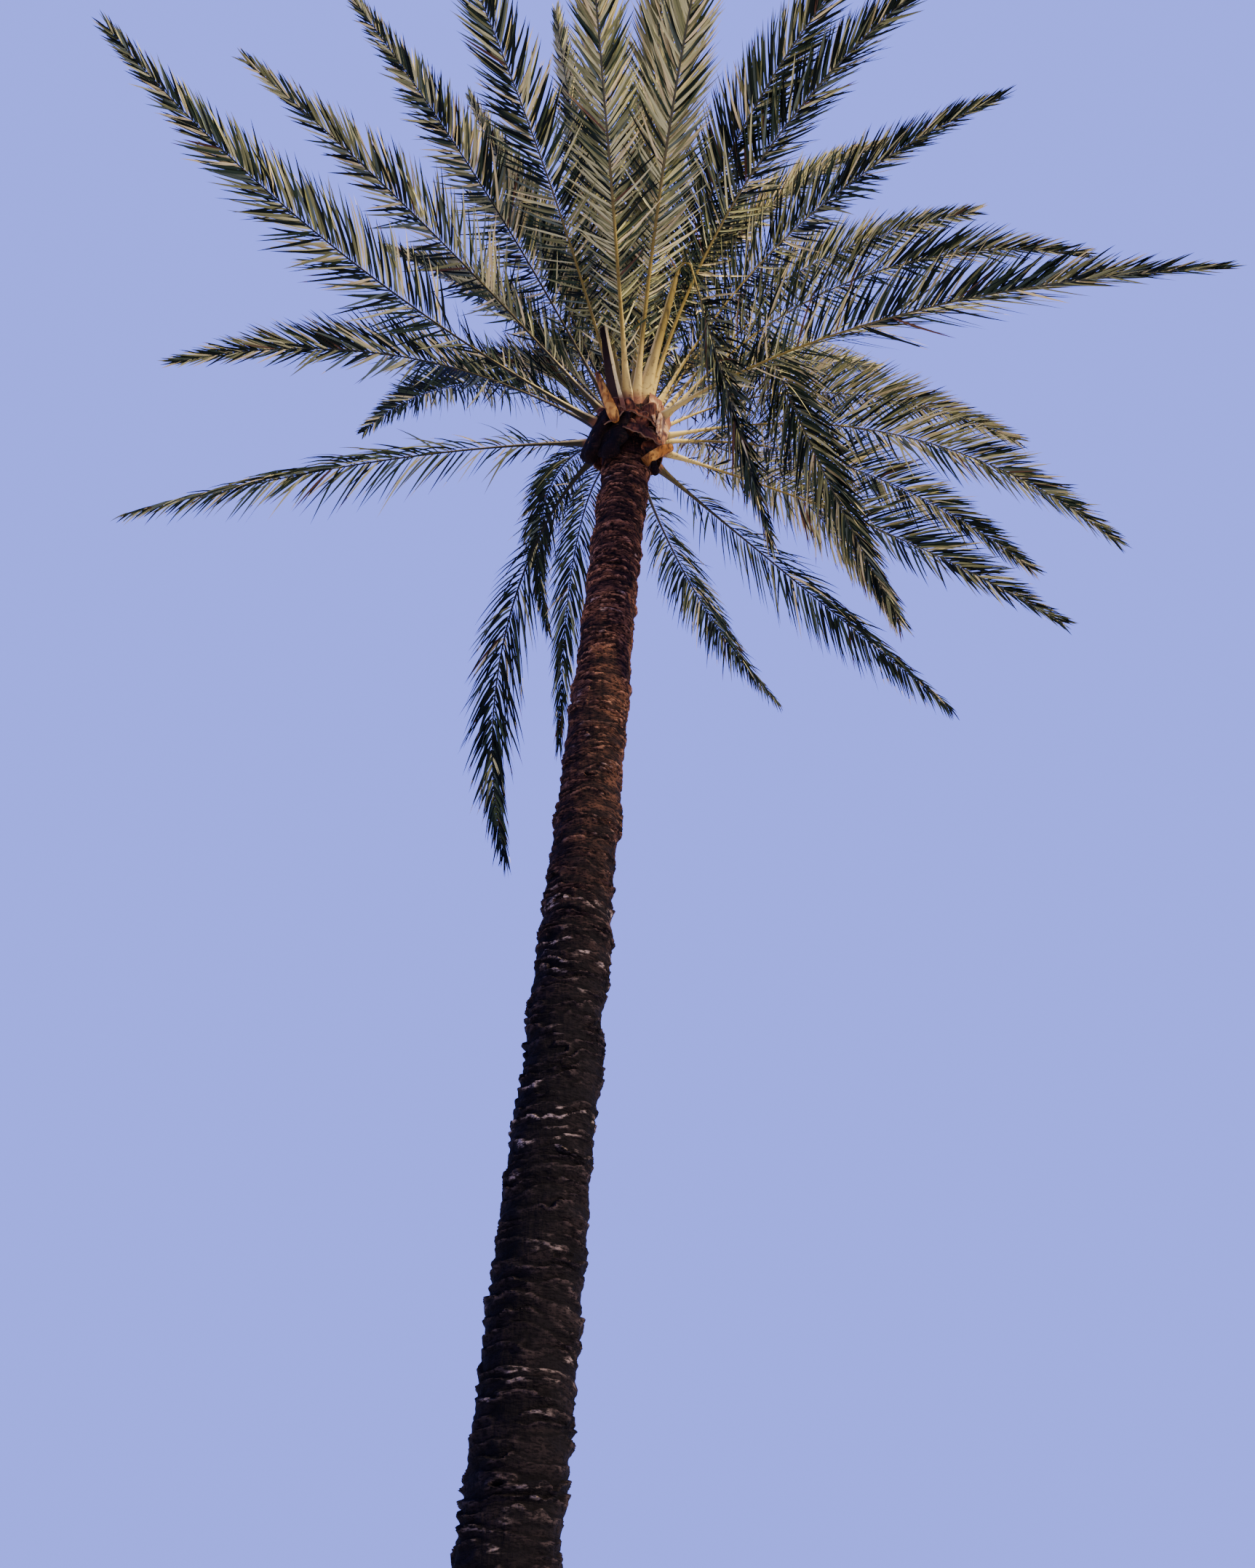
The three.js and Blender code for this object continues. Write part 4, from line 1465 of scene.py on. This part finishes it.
@dataclass
class Heart:
    """The boss that the fronds grow from: a dark core, torn sheaths, sawn bases and fibre."""

    profile: tuple = ((9.8, .178), (9.9, .186), (10.0, .196), (10.08, .216), (10.2, .236),
                      (10.33, .22), (10.46, .168), (10.56, .1), (10.62, .04))
    # Height, radius, count, turn, wide, tall, out
    rows: tuple = ((9.93, .170, 8, 8, .132, .15, .075), (10.03, .195, 8, 30, .138, .15, .080),
                   (10.13, .215, 7, 12, .130, .14, .070))
    # Azimuth, height, radius, wide, tall, out
    large: tuple = ((336, 9.81, .185, .17, .15, .11), (222, 10.02, .215, .13, .20, .07),
                    (312, 10.12, .225, .13, .18, .07), (248, 10.12, .220, .12, .18, .07))
    # Torn sheaths: three that the photo shows and three like them on the far side
    sheaths: tuple = (
        Sheath("left_sheath", 176, 264, 10.26, (9.98, 9.92, 9.94, 9.99, 9.96), .222, .325),
        Sheath("front_sheath", 252, 336, 10.34, (10.12, 10.14, 10.10, 10.06), .200, .268),
        Sheath("torn_flap", 254, 340, 10.01, (9.955, 9.88, 9.87, 9.93), .268, .286),
        Sheath("far_right_sheath", 350, 428, 10.28, (10.04, 9.96, 10.02), .226, .276),
        Sheath("far_sheath", 418, 496, 10.26, (10.06, 9.98, 10.05), .228, .278),
        Sheath("far_left_sheath", 486, 560, 10.29, (10.02, 9.97, 10.10), .224, .280),
    )
    # Pale bases of the right petioles, as the sun strikes them
    pale_sheaths: tuple = (
        Sheath("near_right_sheath", 320, 358, 10.30, (10.06, 9.98, 9.95, 10.02), .312, .268),
        Sheath("upper_right_sheath", 302, 346, 10.42, (10.22, 10.15, 10.10, 10.14), .268, .262),
    )
    # The orange base of a near left petiole and the cut boot on the near right
    stumps: tuple = (
        Stump("petiole_tongue", (219, 10.66, .36), (256, 9.95, .33), (.022, .048), .030),
        Stump("orange_boot", (311, 9.67, .23), (335, 9.86, .37), (.040, .036), .034, 1.0),
    )
    # Tufts of sheath fibre under the boot and on the left, dark with painted shade
    tufts: tuple = (
        Stump("right_tuft", (318, 9.82, .235), (332, 9.58, .275), (.050, .022), .030,
              rough=.3, seed=10),
        Stump("left_tuft", (212, 10.20, .25), (206, 9.74, .30), (.150, .070), .070,
              rough=.4, seed=9),
        Stump("near_left_tuft", (240, 10.10, .24), (244, 9.68, .24), (.150, .080), .050,
              rough=.4, seed=14),
    )
    around: int = 120
    along: int = 110
    # The core's lumps: slow ones, and fine ones that slant one way and the other
    lumps: tuple = (0.012, 0.005, 0.004)
    slant: float = 0.4
    # On a sawn base of unit size: where it is cut across, and each inset of its top and its sink
    cuts: tuple = (0.12, 0.25, 0.38, 0.5, 0.62, 0.74, 0.86, 0.94)
    hollow: tuple = ((0.09, 0.0), (0.05, 0.16), (0.12, 0.08))
    strands: Strands = Strands()
    seed: int = 31
    fibre: Fibre = Fibre()
    base: SawnBase = SawnBase()
    shaded: Fibre = Fibre("shaded_fibre", dark=(.0012, .0008, .0008), warm=(.005, .002, .0015),
                          light=(.018, .007, .004))
    bright: SawnBase = SawnBase("orange_stump", red=(.30, .11, .014), orange=(.50, .24, .036),
                                dark=(.060, .018, .004))
    pale: SawnBase = SawnBase("pale_sheath", red=(.24, .11, .045), orange=(.50, .31, .13),
                              dark=(.130, .050, .024), rim=(.50, .32, .16))

    def core(self) -> bpy.types.Object:
        """Rolls the fibrous core up from a grid.

        Returns:
            The core, closed at both ends.
        """
        piece, turn, share = grid_piece("heart_core", self.around, self.along)
        heights, radii = zip(*self.profile)
        z = heights[0] + (heights[-1] - heights[0]) * share
        slow, one_way, other_way = self.lumps
        lump = slow * lattice(turn, share, 9, 8, self.seed)
        lump += one_way * lattice(turn + self.slant * share, share, 44, 12, self.seed + 1)
        lump += other_way * lattice(turn - self.slant * share, share, 44, 12, self.seed + 2)
        r = np.interp(z, heights, radii) + lump * steady(0.0, 0.08, share)
        move_to(piece.data, round_stem(2 * np.pi * turn, r, z))
        close_ends(piece)
        return piece

    def sawn_base(self) -> bpy.types.Object:
        """Models one sawn leaf base of unit size.

        Returns:
            The base, with its foot at the origin and its outer face to +X.
        """
        loose()
        bpy.ops.mesh.primitive_cylinder_add(
            vertices=20, radius=0.5, depth=1.0, end_fill_type="NGON", location=(0, 0, 0.5))
        piece = bpy.context.object
        bpy.ops.object.mode_set(mode="EDIT")
        for height in self.cuts:
            bpy.ops.mesh.select_all(action="SELECT")
            bpy.ops.mesh.bisect(plane_co=(0, 0, height), plane_no=(0, 0, 1))
        self.hollow_top()
        bpy.ops.object.mode_set(mode="OBJECT")
        bpy.ops.object.transform_apply(location=True, rotation=False, scale=False)
        places = corners(piece.data)
        store(piece.data, "rim", steady(0.965, 0.99, places[:, 2]))
        # The foot gets painted shade
        store(piece.data, "foot", 1 - steady(0.05, 0.45, places[:, 2]))
        move_to(piece.data, self.shaped(places))
        return piece

    def hollow_top(self) -> None:
        """Insets the sawn top and sinks it, in edit mode."""
        bpy.ops.mesh.select_mode(type="FACE")
        bpy.ops.mesh.select_all(action="DESELECT")
        bpy.ops.object.mode_set(mode="OBJECT")
        mesh = bpy.context.object.data
        for face in mesh.polygons:
            face.select = face.normal.z > 0.9
        bpy.ops.object.mode_set(mode="EDIT")
        for inset, sink in self.hollow:
            bpy.ops.mesh.inset(thickness=inset)
            bpy.ops.transform.translate(value=(0, 0, -sink))

    def shaped(self, places: np.ndarray) -> np.ndarray:
        """Bends a unit cylinder into a clasping leaf base.

        Args:
            places: The cylinder's points.

        Returns:
            Points with the width as 1 along Y, the height as 1 and the reach as 1 along X.
        """
        z = places[:, 2]
        x, y = places[:, 0] * 2, places[:, 1] * 2
        wide = 0.30 + 0.16 * steady(0.0, 0.5, z) - 0.05 * steady(0.6, 1.0, z)
        reach = 0.12 + 0.88 * steady(-0.2, 0.85, z) * (0.7 + 0.3 * z)
        thick = 0.34 + 0.2 * steady(0.0, 0.7, z)
        bowed = -0.55 * y ** 2 * (0.4 + 0.6 * z)
        out = reach + (x - 1) * thick + bowed
        return np.stack([out, y * wide * 1.12, z - 0.10 * y ** 2 * z], -1)

    def placed(self, model: bpy.types.Object, az: float, z: float, radius: float,
               wide: float, tall: float, out: float) -> bpy.types.Object:
        """A copy of a sawn base at its place on the heart.

        Args:
            model: The base of unit size.
            az: Its azimuth.
            z: The height of its foot.
            radius: How far its foot is from the middle of the heart.
            wide: Its width.
            tall: Its height.
            out: How far it stands out at its top.

        Returns:
            The copy, with a mesh of its own.
        """
        copy = model.copy()
        copy.data = model.data.copy()
        bpy.context.scene.collection.objects.link(copy)
        scale = Matrix.Diagonal((out * 1.15, wide, tall, 1))
        shift = Matrix.Translation((radius, 0, 0))
        turn = Matrix.Rotation(math.radians(az), 4, "Z")
        copy.data.transform(Matrix.Translation((LEAN * z, 0, z)) @ turn @ shift @ scale)
        return copy

    def bases(self) -> list:
        """Copies the sawn base to its places, in rows and with a few large ones in front.

        Returns:
            The copies.
        """
        model = self.sawn_base()
        rng = np.random.default_rng(self.seed + 5)
        parts = []
        for z, radius, count, turn, wide, tall, out in self.rows:
            for k in range(count):
                az = turn + k * 360 / count
                parts.append(self.placed(model, az, z, radius, wide,
                                         tall * rng.uniform(0.85, 1.15), out))
        parts += [self.placed(model, *place) for place in self.large]
        bpy.data.objects.remove(model)
        return parts

    def torn(self, sheaths: tuple, first: int) -> list:
        """Builds some sheaths, with three seeds for each, from the first one on."""
        return [sheath.build(self.seed + first + 3 * i) for i, sheath in enumerate(sheaths)]

    def group(self, name: str, parts: list, finish: object, nodes: list,
              smooth: float | None) -> None:
        """Joins, dresses and settles the parts of one kind.

        Args:
            name: The name of the piece.
            parts: Its parts.
            finish: Its finish.
            nodes: The names of the solids that it replaces.
            smooth: The sharpest angle that is shaded smooth, or None for flat faces.
        """
        settle(dress(joined(name, parts), finish), nodes, smooth)

    def build(self) -> None:
        """Builds the core and all that stands on it, each kind as one piece."""
        heart = ["crown_heart"]
        self.group("heart_core", [self.core()], self.fibre, heart, 60.0)
        self.group("sawn_bases", self.bases(), self.base, heart, 35.0)
        self.group("torn_sheaths", self.torn(self.sheaths, 20), self.base, heart, 40.0)
        self.group("orange_stumps", [one.build() for one in self.stumps], self.bright, [], 50.0)
        self.group("pale_sheaths", self.torn(self.pale_sheaths, 50), self.pale, [], 40.0)
        self.group("fibre_tufts", [one.build() for one in self.tufts], self.shaded, [], 50.0)
        strands = self.strands.build(self.profile, self.seed + 9)
        self.group("loose_fibre", [strands], self.fibre, [], None)


@dataclass
class SawnPetiole:
    """The sawn petiole on the near left of the heart, a hollow channel that faces the viewer."""

    frond: Frond = Frond("stub", 248, 65, -4, 0.70, 36)
    half_low: float = 0.052
    half_high: float = 0.030
    section: tuple = ((-1, -.012), (-.90, -.016), (-.55, .002), (-.10, .010), (.36, .002),
                      (.50, -.030), (1, -.028), (.8, .016), (0, .026), (-.6, .016))
    # The hollow and the left side of the channel are its back, coloured near-black as painted shade
    backs: tuple = (1, 1, 1, 1, 1, .2, 0, .3, .3, 1)
    rings: int = 18
    finish: Rib = Rib("sawn_petiole", back=(0.012, 0.007, 0.004), butter=(0.030, 0.015, 0.007))

    def build(self) -> None:
        """Lofts the petiole and closes its sawn end."""
        t = np.linspace(-0.12, 1.0, self.rings)
        wide = self.half_low + (self.half_high - self.half_low) * np.maximum(t, 0)
        wide = wide + 0.02 * np.exp(-np.maximum(t, 0) * 5)
        deep = np.ones(self.rings)
        piece = loft("sawn_petiole", self.frond, t, np.array(self.section), wide, deep)
        store(piece.data, "back", np.tile(self.backs, self.rings))
        store(piece.data, "painted_shade", np.zeros(len(piece.data.vertices)))
        settle(dress(piece, self.finish), ["cut_stub"], 45.0)


@dataclass
class Studio:
    """The pale floor, the soft light and the camera at the photo's angle."""

    eye: tuple = (0.70, -6.8, 1.6)
    pitch: float = 37.5
    focal_pixels: float = 1900.0
    long_pixels: float = 2156.0
    sensor: float = 36.0
    far: float = 400.0
    floor: float = 120.0
    floor_drop: float = 0.001
    floor_colour: tuple = (0.72, 0.72, 0.74)
    floor_roughness: float = 0.9
    sky: tuple = (0.37, 0.455, 1.80)
    sun_height: float = 27.0
    sun_strength: float = 10.5
    sun_width: float = 2.0
    sun_colour: tuple = (1.0, 0.84, 0.58)

    def camera(self) -> None:
        """Makes the camera that was matched to the photo."""
        data = bpy.data.cameras.new("photo_camera")
        data.sensor_width = self.sensor
        data.lens = self.focal_pixels / self.long_pixels * self.sensor
        data.clip_end = self.far
        eye = bpy.data.objects.new("photo_camera", data)
        eye.location = self.eye
        eye.rotation_euler = (math.radians(90 + self.pitch), 0, 0)
        bpy.context.scene.collection.objects.link(eye)
        bpy.context.scene.camera = eye

    def sun(self) -> None:
        """Adds the sun, whose width softens its shadows."""
        data = bpy.data.lights.new("key_light", "SUN")
        data.energy = self.sun_strength
        data.angle = math.radians(self.sun_width)
        data.color = self.sun_colour
        lamp = bpy.data.objects.new("key_light", data)
        a, h = math.radians(LIGHT_AZ), math.radians(self.sun_height)
        source = Vector((math.cos(a) * math.cos(h), math.sin(a) * math.cos(h), math.sin(h)))
        lamp.rotation_euler = source.to_track_quat("Z", "Y").to_euler()
        bpy.context.scene.collection.objects.link(lamp)

    def ground(self) -> None:
        """Makes the floor."""
        loose()
        bpy.ops.mesh.primitive_plane_add(size=self.floor, location=(0, 0, -self.floor_drop))
        plane = bpy.context.object
        plane.name = "studio_floor"
        board = Board("studio_floor")
        board.set(Base_Color=self.floor_colour, Roughness=self.floor_roughness)
        plane.data.materials.append(board.material)

    def world(self) -> None:
        """Gives the scene an even pale sky."""
        world = bpy.data.worlds.new("studio_world")
        world.use_nodes = True
        back = world.node_tree.nodes["Background"]
        back.inputs["Color"].default_value = rgba(self.sky)
        back.inputs["Strength"].default_value = 1.0
        bpy.context.scene.world = world

    def build(self) -> None:
        """Sets up the floor, the light and the camera."""
        self.ground()
        self.world()
        self.sun()
        self.camera()


def main() -> None:
    """Builds the palm and the studio."""
    logging.basicConfig(level=logging.INFO, format="%(message)s")
    Trunk().build()
    Heart().build()
    SawnPetiole().build()
    Crown().build()
    Studio().build()
    loose()


if __name__ == "__main__":
    main()
